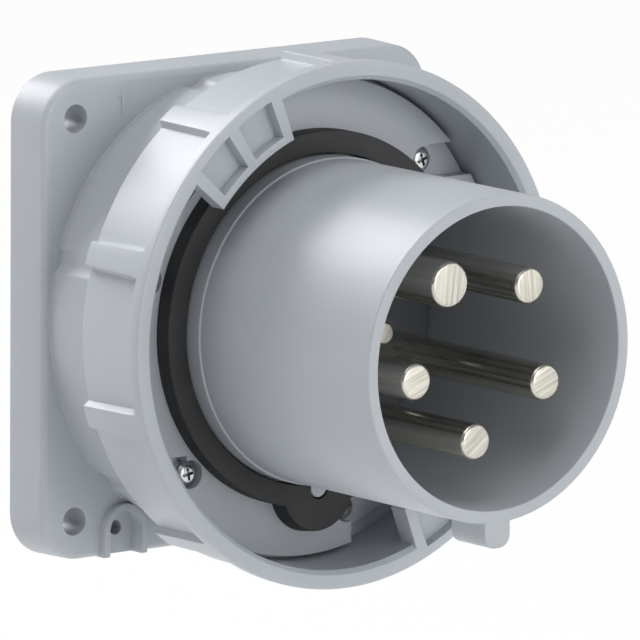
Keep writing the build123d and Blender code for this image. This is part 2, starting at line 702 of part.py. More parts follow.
def pilot_pin():
    """The short pin on the axis, with its own terminal, built and spun like the others."""
    collar_front = CARRIER_REAR + PIN_COLLAR_LENGTH
    shaft = disc(PILOT_DIAMETER / 2, collar_front - COVER, PILOT_TIP)
    shaft = chamfer(shaft.edges().group_by(Axis.Y)[0], PIN_TIP_CHAMFER)
    root = disc(PILOT_DIAMETER / 2 + PIN_ROOT_STEP, collar_front - COVER, boss_front())
    pin = shaft + root + disc(PILOT_COLLAR_RADIUS, CARRIER_REAR, collar_front)
    pin = pin + disc(PILOT_TERMINAL_RADIUS, PILOT_TERMINAL_REAR, CARRIER_REAR)
    bore_end = PILOT_TERMINAL_REAR + PILOT_BORE_DEPTH
    pin = pin - disc(PILOT_TERMINAL_BORE, PILOT_TERMINAL_REAR - COVER, bore_end)
    pin = pin - radial_bar(PILOT_CLAMP_DIAMETER / 2 + PIN_FIT, 180, 0,
                           PILOT_TERMINAL_RADIUS + COVER, PILOT_CLAMP_FORWARD)
    return spun(pin, PILOT_CLAMP_ANGLE - 180)


def slotted_screw(diameter, length, angle, start, forward):
    """A headless clamping screw with a straight slot."""
    screw = radial_bar(diameter / 2, angle, start, start + length, forward)
    slot = Pos(start + length - SLOT_DEPTH / 2, -forward, 0) * Box(SLOT_DEPTH, SLOT_WIDTH, diameter)
    return screw - spun(slot, angle)


def clamp_screws():
    """Two screws on each main terminal, backed out so that the wire's way is open."""
    start = PIN_CIRCLE + TERMINAL_BORE + CLAMP_OPEN_GAP
    screws = []
    for angle in POLE_ANGLES:
        for forward in clamp_places():
            screws.append(slotted_screw(CLAMP_DIAMETER, CLAMP_LENGTH, angle, start, forward))
    return Compound(children=screws)


def pilot_clamp_screw():
    """The pilot terminal's screw, backed out like the others."""
    start = PILOT_TERMINAL_BORE + CLAMP_OPEN_GAP
    length = PILOT_CLAMP_LENGTH
    return slotted_screw(PILOT_CLAMP_DIAMETER, length, PILOT_CLAMP_ANGLE, start, PILOT_CLAMP_FORWARD)


def terminal_holder():
    """Rear insulator: it backs the pins' collars and guards the terminals."""
    plug_in = SPIGOT_BORE - CARRIER_GAP
    flange_rear = SPIGOT_REAR - HOLDER_FLANGE
    body = turned([
        (0, HOLDER_REAR),
        (HOLDER_RADIUS - HOLDER_EDGE, HOLDER_REAR),
        (HOLDER_RADIUS, HOLDER_REAR + HOLDER_EDGE),
        (HOLDER_RADIUS, flange_rear),
        (SPIGOT_RADIUS, flange_rear),
        (SPIGOT_RADIUS, SPIGOT_REAR),
        (plug_in, SPIGOT_REAR),
        (plug_in, CARRIER_REAR),
        (0, CARRIER_REAR),
    ])
    for i, (x, z, _) in enumerate(pin_places()):
        main = i < PIN_POLES
        terminal = TERMINAL_RADIUS if main else PILOT_TERMINAL_RADIUS
        rear = TERMINAL_REAR if main else PILOT_TERMINAL_REAR
        entry = TERMINAL_BORE if main else PILOT_TERMINAL_BORE
        chamber = disc(terminal + CHAMBER_GAP, rear - CHAMBER_GAP, CARRIER_REAR + COVER, x, z)
        mouth = disc(entry, HOLDER_REAR - COVER, rear, x, z)
        flare = Cone(entry + ENTRY_FLARE, entry, ENTRY_FLARE, rotation=(90, 0, 0))
        flare = Pos(x, -(HOLDER_REAR + ENTRY_FLARE / 2), z) * flare
        body = body - chamber - mouth - flare
    access = CLAMP_DIAMETER / 2 + CLAMP_ACCESS_GAP
    for angle in POLE_ANGLES:
        for forward in clamp_places():
            body = body - radial_bar(access, angle, PIN_CIRCLE, HOLDER_RADIUS + COVER, forward)
    pilot_access = PILOT_CLAMP_DIAMETER / 2 + CLAMP_ACCESS_GAP
    body = body - radial_bar(pilot_access, PILOT_CLAMP_ANGLE, 0, HOLDER_RADIUS + COVER, PILOT_CLAMP_FORWARD)
    hole_radius = HOLDER_SCREW_DIAMETER / 2 + SCREW_HOLE_GAP
    for angle in HOLDER_SCREW_ANGLES:
        x, z = on_circle(HOLDER_SCREW_CIRCLE, angle)
        body = body - disc(hole_radius, flange_rear - COVER, SPIGOT_REAR + COVER, x, z)
    return body


def holder_screws():
    """Pan-head screws driven in from behind."""
    seat = SPIGOT_REAR - HOLDER_FLANGE
    screws = []
    for angle in HOLDER_SCREW_ANGLES:
        x, z = on_circle(HOLDER_SCREW_CIRCLE, angle)
        head = disc(HOLDER_HEAD_RADIUS, seat - HOLDER_HEAD_HEIGHT, seat, x, z)
        head = chamfer(head.edges().group_by(Axis.Y)[-1], HOLDER_HEAD_HEIGHT * 0.4)
        screws.append(head + disc(HOLDER_SCREW_DIAMETER / 2, seat, seat + HOLDER_SCREW_LENGTH, x, z))
    return Compound(children=screws)


def shroud_with_screw_holes():
    """The shroud, drilled at the back for the holder's screws."""
    body = pin_shroud()
    end = SPIGOT_REAR - HOLDER_FLANGE + HOLDER_SCREW_LENGTH + COVER
    for angle in HOLDER_SCREW_ANGLES:
        x, z = on_circle(HOLDER_SCREW_CIRCLE, angle)
        body = body - disc(HOLDER_SCREW_DIAMETER / 2 + SCREW_HOLE_GAP, SPIGOT_REAR - COVER, end, x, z)
    return body


os.makedirs("parts", exist_ok=True)
save("flange_housing", flange_housing())
save("flange_gasket", flange_gasket())
save("body_seal", body_seal())
save("locking_ring", locking_ring())
save("pin_shroud", shroud_with_screw_holes())
save("face_gasket", face_gasket())
save("shroud_screws", shroud_screws())
save("contact_carrier", contact_carrier())
save("carrier_seal", carrier_seal())
save("pin_seals", pin_seals())
PIN_NAMES = ["earth_pin", "line_pin_1", "line_pin_2", "line_pin_3", "neutral_pin"]
for number, pin_name in enumerate(PIN_NAMES):
    save(pin_name, main_pin(number))
save("pilot_pin", pilot_pin())
save("terminal_holder", terminal_holder())
save("holder_screws", holder_screws())
save("clamp_screws", clamp_screws())
save("pilot_clamp_screw", pilot_clamp_screw())
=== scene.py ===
# %% [markdown]
# # A five-pole power plug with a bayonet ring
#
# The real object is a grey plug for a machine or a distribution box. Its square flange is screwed
# to a panel, a smooth round shroud guards five thick nickel pins, and a ribbed ring with two cams
# locks the mating connector. The CAD model fixes every size and every joint. This lesson makes the
# parts that the eye meets: soft moulded edges, satin plastic, black rubber and turned metal.

# %% Load the CAD frame
from math import acos, atan2, cos, degrees, pi, radians, sin, tan
from types import SimpleNamespace

import bmesh
import bpy
from mathutils import Matrix, Vector


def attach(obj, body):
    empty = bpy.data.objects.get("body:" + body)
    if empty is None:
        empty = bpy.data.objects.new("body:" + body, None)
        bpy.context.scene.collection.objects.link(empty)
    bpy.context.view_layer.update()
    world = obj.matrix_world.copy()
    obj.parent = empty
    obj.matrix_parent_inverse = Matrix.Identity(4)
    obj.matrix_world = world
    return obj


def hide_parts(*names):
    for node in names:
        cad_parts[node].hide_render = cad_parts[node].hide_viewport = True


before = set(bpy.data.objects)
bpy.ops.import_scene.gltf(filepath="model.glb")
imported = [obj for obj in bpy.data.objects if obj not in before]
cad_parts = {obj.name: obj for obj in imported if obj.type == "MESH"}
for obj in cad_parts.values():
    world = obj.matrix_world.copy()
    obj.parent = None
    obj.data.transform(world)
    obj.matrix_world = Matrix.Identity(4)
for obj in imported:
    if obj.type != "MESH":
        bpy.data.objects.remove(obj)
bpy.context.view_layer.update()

# %% [markdown]
# ## The camera
#
# A long lens far away keeps the flange's parallel edges nearly parallel, as in the photograph. The
# three angles say where the camera stands, and the two offsets, in millimetres like the distance,
# say how far it looks past the origin. It comes first because it shows straight away whether the
# frame sits where it should.

# %% Set up the camera
MM = 0.001
IMAGE_WIDTH = 640
SENSOR_WIDTH = 36
FOCAL_PIXELS = 12904.923
CAMERA_AZIMUTH = radians(-38.102)
CAMERA_ELEVATION = radians(9.683)
CAMERA_ROLL = radians(0.379)
CAMERA_DISTANCE = 2820.378
SIDE_OFFSET = -25.237
UP_OFFSET = 5.745
FAR_CLIP = 100


def camera_axes():
    """The camera's right, up and backward directions in the CAD frame."""
    a, e, roll = CAMERA_AZIMUTH, CAMERA_ELEVATION, CAMERA_ROLL
    back = Vector((sin(a) * cos(e), -cos(a) * cos(e), sin(e)))
    level_right = Vector((cos(a), sin(a), 0))
    level_up = back.cross(level_right)
    right = level_right * cos(roll) + level_up * sin(roll)
    return right, back.cross(right), back


def make_camera():
    right, up, back = camera_axes()
    data = bpy.data.cameras.new("photo_camera")
    data.sensor_width = SENSOR_WIDTH
    data.lens = FOCAL_PIXELS / IMAGE_WIDTH * SENSOR_WIDTH
    data.clip_end = FAR_CLIP
    camera = bpy.data.objects.new("photo_camera", data)
    place_at = (back * CAMERA_DISTANCE - right * SIDE_OFFSET - up * UP_OFFSET) * MM
    turn = Matrix((right, up, back)).transposed().to_4x4()
    camera.matrix_world = Matrix.Translation(place_at) @ turn
    bpy.context.scene.collection.objects.link(camera)
    bpy.context.scene.camera = camera
    return camera


camera = make_camera()
print("camera at", [round(c, 3) for c in camera.location])

# %% [markdown]
# ## Light and background
#
# The photograph is lit by a wide soft light from behind and above, which draws the bright bands
# along the ring and the shroud, by one nearly straight in front, which makes all the front faces
# equally light, and by weaker ones from the top and the right. The world is white only where the
# camera sees it, and the floor also in reflections, so the grey plastic isn't washed out by them.

# %% World and lamps
SKY_LEVEL = 0.5
GROUND_LEVEL = 0.02
LAMPS = {
    "back_light": {"aim": (-0.24, 0.74, 0.63), "distance": 1.3, "size": 0.75, "watts": 14.0},
    "top_light": {"aim": (-0.35, -0.15, 0.92), "distance": 1.3, "size": 0.9, "watts": 6.0},
    "front_light": {"aim": (0.1, -1.0, 0.2), "distance": 1.6, "size": 0.9, "watts": 8.5},
    "right_light": {"aim": (0.75, -0.6, 0.25), "distance": 1.6, "size": 0.9, "watts": 3.0},
}
LAMP_TARGET = Vector((0, -0.04, 0))


def node(tree, kind, values=None, **settings):
    """A new node with its settings, and the values of its unlinked sockets."""
    made = tree.nodes.new(kind)
    for key, value in settings.items():
        setattr(made, key, value)
    for socket, value in (values or {}).items():
        made.inputs[socket].default_value = value
    return made


def make_world():
    """A sky that is lighter above than below, and plain white where the camera sees it."""
    world = bpy.data.worlds.new("studio")
    bpy.context.scene.world = world
    world.use_nodes = True
    tree = world.node_tree
    tree.nodes.clear()
    link = tree.links.new
    coordinates = node(tree, "ShaderNodeTexCoord")
    split = node(tree, "ShaderNodeSeparateXYZ")
    height = node(tree, "ShaderNodeMapRange", {"From Min": -1, "From Max": 1,
                                               "To Min": GROUND_LEVEL, "To Max": SKY_LEVEL})
    sky = node(tree, "ShaderNodeBackground")
    white = node(tree, "ShaderNodeBackground", {"Color": (1, 1, 1, 1)})
    path = node(tree, "ShaderNodeLightPath")
    mix = node(tree, "ShaderNodeMixShader")
    output = node(tree, "ShaderNodeOutputWorld")
    link(coordinates.outputs["Generated"], split.inputs[0])
    link(split.outputs["Z"], height.inputs["Value"])
    link(height.outputs["Result"], sky.inputs["Strength"])
    link(path.outputs["Is Camera Ray"], mix.inputs["Fac"])
    link(sky.outputs[0], mix.inputs[1])
    link(white.outputs[0], mix.inputs[2])
    link(mix.outputs[0], output.inputs["Surface"])


def make_lamp(name, settings):
    """A square soft light that looks at the middle of the plug."""
    data = bpy.data.lights.new(name, "AREA")
    data.size = settings["size"]
    data.energy = settings["watts"]
    lamp = bpy.data.objects.new(name, data)
    direction = Vector(settings["aim"]).normalized()
    lamp.location = LAMP_TARGET + direction * settings["distance"]
    lamp.rotation_euler = direction.to_track_quat("Z", "Y").to_euler()
    bpy.context.scene.collection.objects.link(lamp)
    return lamp


make_world()
lamps = [make_lamp(name, settings) for name, settings in LAMPS.items()]
bpy.context.scene.view_settings.view_transform = "Standard"
print("lamps:", [lamp.name for lamp in lamps])

# %% Floor
FLOOR_HEIGHT = -0.17
FLOOR_REACH = 20
FLOOR_GREY = (0.86, 0.86, 0.86, 1)
FLOOR_WHITENESS = 0.96


def larger(tree, first, second):
    """The larger of two values, kept between 0 and 1."""
    choice = node(tree, "ShaderNodeMath", operation="MAXIMUM", use_clamp=True)
    tree.links.new(first, choice.inputs[0])
    tree.links.new(second, choice.inputs[1])
    return choice.outputs[0]


def floor_material():
    """Pale and matt under the object's shadow, nearly white where it is looked at."""
    material = bpy.data.materials.new("pale_floor")
    material.use_nodes = True
    tree = material.node_tree
    link = tree.links.new
    shader = tree.nodes["Principled BSDF"]
    shader.inputs["Base Color"].default_value = FLOOR_GREY
    shader.inputs["Roughness"].default_value = 0.8
    shader.inputs["Specular IOR Level"].default_value = 0.1
    path = node(tree, "ShaderNodeLightPath").outputs
    mirrored = larger(tree, path["Is Transmission Ray"], path["Is Glossy Ray"])
    whiteness = node(tree, "ShaderNodeMath", {1: FLOOR_WHITENESS}, operation="MULTIPLY")
    glow = node(tree, "ShaderNodeEmission")
    mix = node(tree, "ShaderNodeMixShader")
    link(larger(tree, path["Is Camera Ray"], mirrored), whiteness.inputs[0])
    link(whiteness.outputs[0], mix.inputs["Fac"])
    link(shader.outputs[0], mix.inputs[1])
    link(glow.outputs[0], mix.inputs[2])
    link(mix.outputs[0], tree.nodes["Material Output"].inputs["Surface"])
    return material


def make_floor():
    form = bmesh.new()
    bmesh.ops.create_grid(form, x_segments=1, y_segments=1, size=FLOOR_REACH)
    bmesh.ops.translate(form, verts=form.verts, vec=(0, 0, FLOOR_HEIGHT))
    mesh = bpy.data.meshes.new("floor")
    form.to_mesh(mesh)
    form.free()
    mesh.materials.append(floor_material())
    floor = bpy.data.objects.new("floor", mesh)
    bpy.context.scene.collection.objects.link(floor)


make_floor()
print("floor:", FLOOR_HEIGHT, "m under the plug's axis")

# %% [markdown]
# ## Helpers for turned and moulded forms
#
# Nearly everything here is turned about one axis or pushed out along it, so a few helpers are
# enough. They work in millimetres, with a radius, an angle seen from the front, and a distance
# forward of the flange's back. A spin makes turned forms with as many facets as a smooth edge
# needs. The corners are rounded in the outline before it is spun, because that gives cleaner
# strips than a bevel on the finished form.

# %% Places and turned forms
FINE = 240
CORNER_STEPS = 4
MERGE_DISTANCE = 1e-4


def place(radius, angle, forward=0.0):
    """A point from its radius, its angle seen from the front, and its distance forward."""
    return Vector((radius * cos(radians(angle)), -forward, radius * sin(radians(angle))))


def spot(radius, angle):
    """Where a line along the axis stands: its x and z."""
    point = place(radius, angle)
    return point.x, point.z


def radius_of(point):
    return (point.x ** 2 + point.z ** 2) ** 0.5


def angle_of(point):
    """A point's angle seen from the front, from 0 to 360 degrees."""
    return degrees(atan2(point.z, point.x)) % 360


def soft(outline, closed):
    """Rounds each (radius, forward, rounding) corner of an outline; the others stay sharp."""
    result = []
    count = len(outline)
    for i, corner in enumerate(outline):
        at_end = not closed and i in (0, count - 1)
        if len(corner) < 3 or at_end:
            result.append(corner[:2])
            continue
        here = Vector((corner[0], corner[1], 0))
        previous, following = outline[i - 1], outline[(i + 1) % count]
        before = (Vector((previous[0], previous[1], 0)) - here).normalized()
        after = (Vector((following[0], following[1], 0)) - here).normalized()
        half = before.angle(after) / 2
        centre = here + (before + after).normalized() * corner[2] / sin(half)
        start = here + before * corner[2] / tan(half) - centre
        end = here + after * corner[2] / tan(half) - centre
        for k in range(CORNER_STEPS + 1):
            point = centre + start.slerp(end, k / CORNER_STEPS).normalized() * corner[2]
            result.append((point.x, point.y))
    return result


def spin_outline(outline, steps=FINE, closed=True, centre=(0.0, 0.0)):
    """Turns an outline of (radius, forward) points about the plug's axis, or a line beside it."""
    form = bmesh.new()
    corners = [form.verts.new((radius, -forward, 0)) for radius, forward in soft(outline, closed)]
    pairs = list(zip(corners, corners[1:])) + ([(corners[-1], corners[0])] if closed else [])
    edges = [form.edges.new(pair) for pair in pairs]
    bmesh.ops.spin(form, geom=corners + edges, cent=(0, 0, 0), axis=(0, 1, 0), dvec=(0, 0, 0),
                   angle=2 * pi, steps=steps, use_merge=True, use_duplicate=False)
    bmesh.ops.remove_doubles(form, verts=form.verts, dist=MERGE_DISTANCE)
    bmesh.ops.recalc_face_normals(form, faces=form.faces)
    bmesh.ops.translate(form, verts=form.verts, vec=(centre[0], 0, centre[1]))
    return form


def bar(radius, rear, front, steps=FINE, centre=(0.0, 0.0)):
    """A plain round bar along the axis, for cutting and filling."""
    ends = [(0, rear), (radius, rear), (radius, front), (0, front)]
    return spin_outline(ends, steps, False, centre)


print("a full turn has", FINE, "facets")

# %% Blocks, sectors and prisms
CROSS_BAR_STEPS = 32


def block(x_low, x_high, z_low, z_high, rear, front):
    form = bmesh.new()
    bmesh.ops.create_cube(form, size=1)
    bmesh.ops.scale(form, verts=form.verts, vec=(x_high - x_low, front - rear, z_high - z_low))
    middle = ((x_low + x_high) / 2, -(rear + front) / 2, (z_low + z_high) / 2)
    bmesh.ops.translate(form, verts=form.verts, vec=middle)
    return form


def turned_about_axis(form, angle):
    """The same form, turned counter-clockwise as seen from the front."""
    turn = Matrix.Rotation(radians(-angle), 3, "Y")
    bmesh.ops.rotate(form, verts=form.verts, cent=(0, 0, 0), matrix=turn)
    return form


def cross_bar(radius, angle, near, far, forward):
    """A plain round bar that points away from the axis."""
    form = bmesh.new()
    bmesh.ops.create_cone(form, cap_ends=True, segments=CROSS_BAR_STEPS, radius1=radius,
                          radius2=radius, depth=far - near)
    turn = Matrix.Rotation(pi / 2, 3, "Y")
    bmesh.ops.rotate(form, verts=form.verts, cent=(0, 0, 0), matrix=turn)
    bmesh.ops.translate(form, verts=form.verts, vec=((near + far) / 2, -forward, 0))
    return turned_about_axis(form, angle)


def sector(inner, outer, rear, front, start, end, steps):
    """A piece of a thick ring between two angles, closed at both ends."""
    form = bmesh.new()
    outline = [(inner, rear), (outer, rear), (outer, front), (inner, front)]
    corners = [form.verts.new(place(radius, start, forward)) for radius, forward in outline]
    edges = [form.edges.new((corners[i], corners[(i + 1) % 4])) for i in range(4)]
    bmesh.ops.spin(form, geom=corners + edges, cent=(0, 0, 0), axis=(0, -1, 0), dvec=(0, 0, 0),
                   angle=radians(end - start), steps=steps, use_merge=False, use_duplicate=False)
    open_edges = [edge for edge in form.edges if edge.is_boundary]
    bmesh.ops.holes_fill(form, edges=open_edges, sides=0)
    bmesh.ops.recalc_face_normals(form, faces=form.faces)
    return form


def verts_in(geometry):
    return [item for item in geometry if isinstance(item, bmesh.types.BMVert)]


def pushed_forward(form, face, depth):
    """Gives a flat face its depth, as one closed form."""
    grown = bmesh.ops.extrude_face_region(form, geom=[face])
    bmesh.ops.translate(form, verts=verts_in(grown["geom"]), vec=(0, -depth, 0))
    bmesh.ops.recalc_face_normals(form, faces=form.faces)
    return form


def arc_prism(centre, start, angle, steps, corners, rear, front):
    """A prism whose outline is an arc from a start point, then straight runs by the corners."""
    form = bmesh.new()
    first = form.verts.new((start[0], -rear, start[1]))
    spun = bmesh.ops.spin(form, geom=[first], cent=(centre[0], 0, centre[1]), axis=(0, -1, 0),
                          dvec=(0, 0, 0), angle=angle, steps=steps, use_merge=False,
                          use_duplicate=False)
    last = verts_in(spun["geom_last"])[0]
    chain = [last] + [form.verts.new((x, -rear, z)) for x, z in corners] + [first]
    for pair in zip(chain, chain[1:]):
        form.edges.new(pair)
    face = bmesh.ops.contextual_create(form, geom=form.edges[:])["faces"][0]
    return pushed_forward(form, face, front - rear)


print("a bar across the axis has", CROSS_BAR_STEPS, "sides")

# %% [markdown]
# ## Joining, cutting and finishing
#
# A mould maker mills one form out of another, and a Boolean modifier does the same here. It could
# all be one mesh pulled into shape by hand, but then no size could be changed afterwards. Every
# piece ends in the same helper, which shades round faces smoothly and keeps real edges crisp.

# %% Edges, Booleans and copies
NEAR = 0.01


def bevel_edges(form, chosen, width, segments):
    bmesh.ops.bevel(form, geom=chosen, offset=width, segments=segments, profile=0.5,
                    affect="EDGES", clamp_overlap=True, material=-1)
    return form


def sharp_edges(form, limit=30):
    """Edges where two faces meet at more than the limit, in degrees."""
    return [e for e in form.edges
            if len(e.link_faces) == 2 and e.calc_face_angle() > radians(limit)]


def on_front(edges, front):
    """Those of the edges that lie in the front face."""
    return [e for e in edges if all(v.co.y < -front + NEAR for v in e.verts)]


def gather(forms):
    """Several forms in one bmesh. They must not run through each other."""
    whole = bmesh.new()
    for form in forms:
        mesh = bpy.data.meshes.new("gathered")
        form.to_mesh(mesh)
        form.free()
        whole.from_mesh(mesh)
        bpy.data.meshes.remove(mesh)
    return whole


def bars(spots, radius, rear, front, steps):
    """The same bar at each of several spots."""
    return gather([bar(radius, rear, front, steps, centre) for centre in spots])


def both_sides(make):
    """Two copies of a form, half a turn apart."""
    return gather([turned_about_axis(make(), turn) for turn in (0, 180)])


def combine(base, tool, operation):
    """Fuses (UNION) or cuts (DIFFERENCE) two forms with a Boolean modifier."""
    pair = []
    for form in (base, tool):
        mesh = bpy.data.meshes.new("combining")
        form.to_mesh(mesh)
        form.free()
        carrier = bpy.data.objects.new("combining", mesh)
        bpy.context.scene.collection.objects.link(carrier)
        pair.append(carrier)
    modifier = pair[0].modifiers.new("combine", "BOOLEAN")
    modifier.operation = operation
    modifier.solver = "EXACT"
    modifier.object = pair[1]
    bpy.context.view_layer.update()
    depsgraph = bpy.context.evaluated_depsgraph_get()
    mesh = bpy.data.meshes.new_from_object(pair[0].evaluated_get(depsgraph))
    result = bmesh.new()
    result.from_mesh(mesh)
    meshes = [mesh] + [carrier.data for carrier in pair]
    for carrier in pair:
        bpy.data.objects.remove(carrier)
    for mesh in meshes:
        bpy.data.meshes.remove(mesh)
    return result


def fuse(base, *tools):
    for tool in tools:
        base = combine(base, tool, "UNION")
    return base


def cut(base, *tools):
    for tool in tools:
        base = combine(base, tool, "DIFFERENCE")
    return base


print("two points are one within", MERGE_DISTANCE, "mm")

# %% Finishing a piece
CRISP_LIMIT = 32
CRISP_LIMIT_SCREWS = 25


def finish_piece(form, name, material, body, cad_node, limit=CRISP_LIMIT):
    """Smooths what is round, keeps edges crisp, and puts the piece in the scene in metres."""
    bmesh.ops.remove_doubles(form, verts=form.verts, dist=MERGE_DISTANCE)
    for face in form.faces:
        face.smooth = True
    for edge in sharp_edges(form, limit):
        edge.smooth = False
    bmesh.ops.scale(form, verts=form.verts, vec=(MM, MM, MM))
    mesh = bpy.data.meshes.new(name)
    form.to_mesh(mesh)
    form.free()
    mesh.materials.append(material)
    piece = bpy.data.objects.new(name, mesh)
    bpy.context.scene.collection.objects.link(piece)
    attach(piece, body)
    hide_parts(cad_node)
    print(f"{name}: {len(mesh.polygons)} faces")
    return piece


print("edges stay crisp above", CRISP_LIMIT, "degrees")

# %% [markdown]
# ## Plastic and rubber
#
# Moulded plastic is never one flat grey. It has a fine grain that breaks up its gloss, a slow drift
# of tone across a wide face, and edges rounded by the mould. A Bevel node finds those edges, and
# its difference from the true surface normal paints a faint highlight on them, a lighter colour for
# the light they catch. Painted textures could show the same, but noise in nodes stays sharp at any
# distance.

# %% Node helpers
NOISE_LOW, NOISE_HIGH = 0.3, 0.7
BUMP_DISTANCE = 0.00004
BEVEL_SAMPLES = 6


def new_material(name):
    material = bpy.data.materials.new(name)
    material.use_nodes = True
    return material, material.node_tree, material.node_tree.nodes["Principled BSDF"]


def object_noise(tree, scale, detail=2.0, stretch=(1, 1, 1), turn=0.0):
    """Noise on Object coordinates, with its scale in features per metre."""
    coordinates = node(tree, "ShaderNodeTexCoord")
    mapping = node(tree, "ShaderNodeMapping", {"Scale": [1 / s for s in stretch],
                                               "Rotation": (0, turn, 0)}, vector_type="TEXTURE")
    noise = node(tree, "ShaderNodeTexNoise", {"Scale": scale, "Detail": detail})
    tree.links.new(coordinates.outputs["Object"], mapping.inputs["Vector"])
    tree.links.new(mapping.outputs["Vector"], noise.inputs["Vector"])
    return noise.outputs["Fac"]


def ranged(tree, source, low, high, from_low=NOISE_LOW, from_high=NOISE_HIGH):
    """Maps a value to a range, for roughness or a mix factor."""
    mapped = node(tree, "ShaderNodeMapRange", {"From Min": from_low, "From Max": from_high,
                                               "To Min": low, "To Max": high})
    tree.links.new(source, mapped.inputs["Value"])
    return mapped.outputs["Result"]


def blended(tree, factor, colour_a, colour_b):
    """A colour between two, each a colour or a socket."""
    mix = node(tree, "ShaderNodeMix", data_type="RGBA")
    tree.links.new(factor, mix.inputs["Factor"])
    for socket, colour in ((mix.inputs["A"], colour_a), (mix.inputs["B"], colour_b)):
        if hasattr(colour, "links"):
            tree.links.new(colour, socket)
        else:
            socket.default_value = (*colour, 1)
    return mix.outputs["Result"]


def shade_of(colour, factor):
    return tuple(min(1.0, channel * factor) for channel in colour)


def mottled(tree, noise, colour, darker, lighter, from_low=NOISE_LOW, from_high=NOISE_HIGH):
    """A colour that drifts between two shades of itself."""
    share = ranged(tree, noise, 0.0, 1.0, from_low, from_high)
    return blended(tree, share, shade_of(colour, darker), shade_of(colour, lighter))


def rounded_normal(tree, radius):
    """The surface normal with the edges rounded off."""
    bevel = node(tree, "ShaderNodeBevel", {"Radius": radius}, samples=BEVEL_SAMPLES)
    return bevel.outputs["Normal"]


def on_edge(tree, rounded):
    """A value that is high where the rounded normal leaves the true one."""
    geometry = node(tree, "ShaderNodeNewGeometry")
    dot = node(tree, "ShaderNodeVectorMath", operation="DOT_PRODUCT")
    tree.links.new(rounded, dot.inputs[0])
    tree.links.new(geometry.outputs["Normal"], dot.inputs[1])
    return ranged(tree, dot.outputs["Value"], 1.0, 0.0, 0.85, 0.999)


def bumped(tree, height, normal, strength, distance=BUMP_DISTANCE):
    bump = node(tree, "ShaderNodeBump", {"Strength": strength, "Distance": distance})
    tree.links.new(height, bump.inputs["Height"])
    if normal is not None:
        tree.links.new(normal, bump.inputs["Normal"])
    return bump.outputs["Normal"]


def feed(tree, shader, colour, roughness, normal):
    """Links what a shader takes from its nodes."""
    for name, source in (("Base Color", colour), ("Roughness", roughness), ("Normal", normal)):
        tree.links.new(source, shader.inputs[name])


print("noise is spread out between", NOISE_LOW, "and", NOISE_HIGH)

# %% Plastics and rubber
HOUSING_GREY = (0.465, 0.495, 0.530)
RING_GREY = (0.470, 0.500, 0.535)
SHROUD_GREY = (0.460, 0.490, 0.525)
INSULATOR_GREY = (0.130, 0.140, 0.152)
RUBBER_BLACK = (0.030, 0.030, 0.031)
PLASTIC_IOR = 1.5
PLASTIC_GRAIN, PLASTIC_DRIFT, PLASTIC_EDGE = 2200.0, 28.0, 0.00014
RUBBER_PITS, RUBBER_BLOOM, RUBBER_EDGE = 3000.0, 60.0, 0.00016


def moulded_plastic(name, colour, roughness):
    """Satin moulded plastic: fine grain, slow drift of tone, and a painted highlight on the edges.
    """
    material, tree, shader = new_material(name)
    drift = object_noise(tree, PLASTIC_DRIFT)
    grain = object_noise(tree, PLASTIC_GRAIN, 3.0)
    base = mottled(tree, drift, colour, darker=0.965, lighter=1.035)
    rounded = rounded_normal(tree, PLASTIC_EDGE)
    # A lighter colour along the edges: a painted highlight for the light that rounded edges catch.
    painted_edge_highlight = ranged(tree, on_edge(tree, rounded), 0.0, 0.35, 0.0, 1.0)
    feed(tree, shader, blended(tree, painted_edge_highlight, base, shade_of(colour, 1.28)),
         ranged(tree, grain, roughness - 0.05, roughness + 0.06),
         bumped(tree, grain, rounded, strength=0.12))
    shader.inputs["IOR"].default_value = PLASTIC_IOR
    return material


def black_rubber(name):
    """Matt rubber with a dusty bloom and a finely pitted skin."""
    material, tree, shader = new_material(name)
    bloom = object_noise(tree, RUBBER_BLOOM, 4.0)
    pits = object_noise(tree, RUBBER_PITS, 3.0)
    rounded = rounded_normal(tree, RUBBER_EDGE)
    feed(tree, shader, mottled(tree, bloom, RUBBER_BLACK, darker=0.8, lighter=1.35),
         ranged(tree, pits, 0.55, 0.75),
         bumped(tree, pits, rounded, strength=0.2, distance=0.00005))
    return material


housing_plastic = moulded_plastic("housing_plastic", HOUSING_GREY, roughness=0.40)
ring_plastic = moulded_plastic("ring_plastic", RING_GREY, roughness=0.38)
shroud_plastic = moulded_plastic("shroud_plastic", SHROUD_GREY, roughness=0.36)
insulator_plastic = moulded_plastic("insulator_plastic", INSULATOR_GREY, roughness=0.45)
seal_rubber = black_rubber("seal_rubber")
print("greys of flange, ring and shroud:", HOUSING_GREY, RING_GREY, SHROUD_GREY)

# %% [markdown]
# ## Metals
#
# The pins are plated bar. Drawing and sliding leave long streaks on their shafts, and the cutting
# tool leaves parallel marks on their ends, at another angle on each. Noise that is stretched along
# one direction makes both. Anisotropy in the shader would only blur the gloss and show no marks.

# %% Metals
NICKEL = (0.62, 0.60, 0.55)
WARM_STREAK = (0.74, 0.70, 0.60)
FACED_NICKEL = (0.74, 0.715, 0.635)
ZINC_STEEL = (0.70, 0.71, 0.72)
ZINC_EDGE = 0.0001


def new_metal(name):
    material, tree, shader = new_material(name)
    shader.inputs["Metallic"].default_value = 1.0
    return material, tree, shader


def drawn_nickel(name):
    """Plated bar with warm, lengthwise streaks from drawing and sliding."""
    material, tree, shader = new_metal(name)
    streaks = object_noise(tree, 620.0, 4.0, stretch=(1, 0.010, 1))
    broad = object_noise(tree, 260.0, 2.0, stretch=(1, 0.016, 1))
    clouds = object_noise(tree, 70.0, 3.0)
    base = mottled(tree, clouds, NICKEL, darker=0.84, lighter=1.04)
    warmth = ranged(tree, broad, 0.0, 1.0, 0.42, 0.66)
    feed(tree, shader, blended(tree, warmth, base, WARM_STREAK),
         ranged(tree, streaks, 0.14, 0.34), bumped(tree, streaks, None, strength=0.16))
    return material


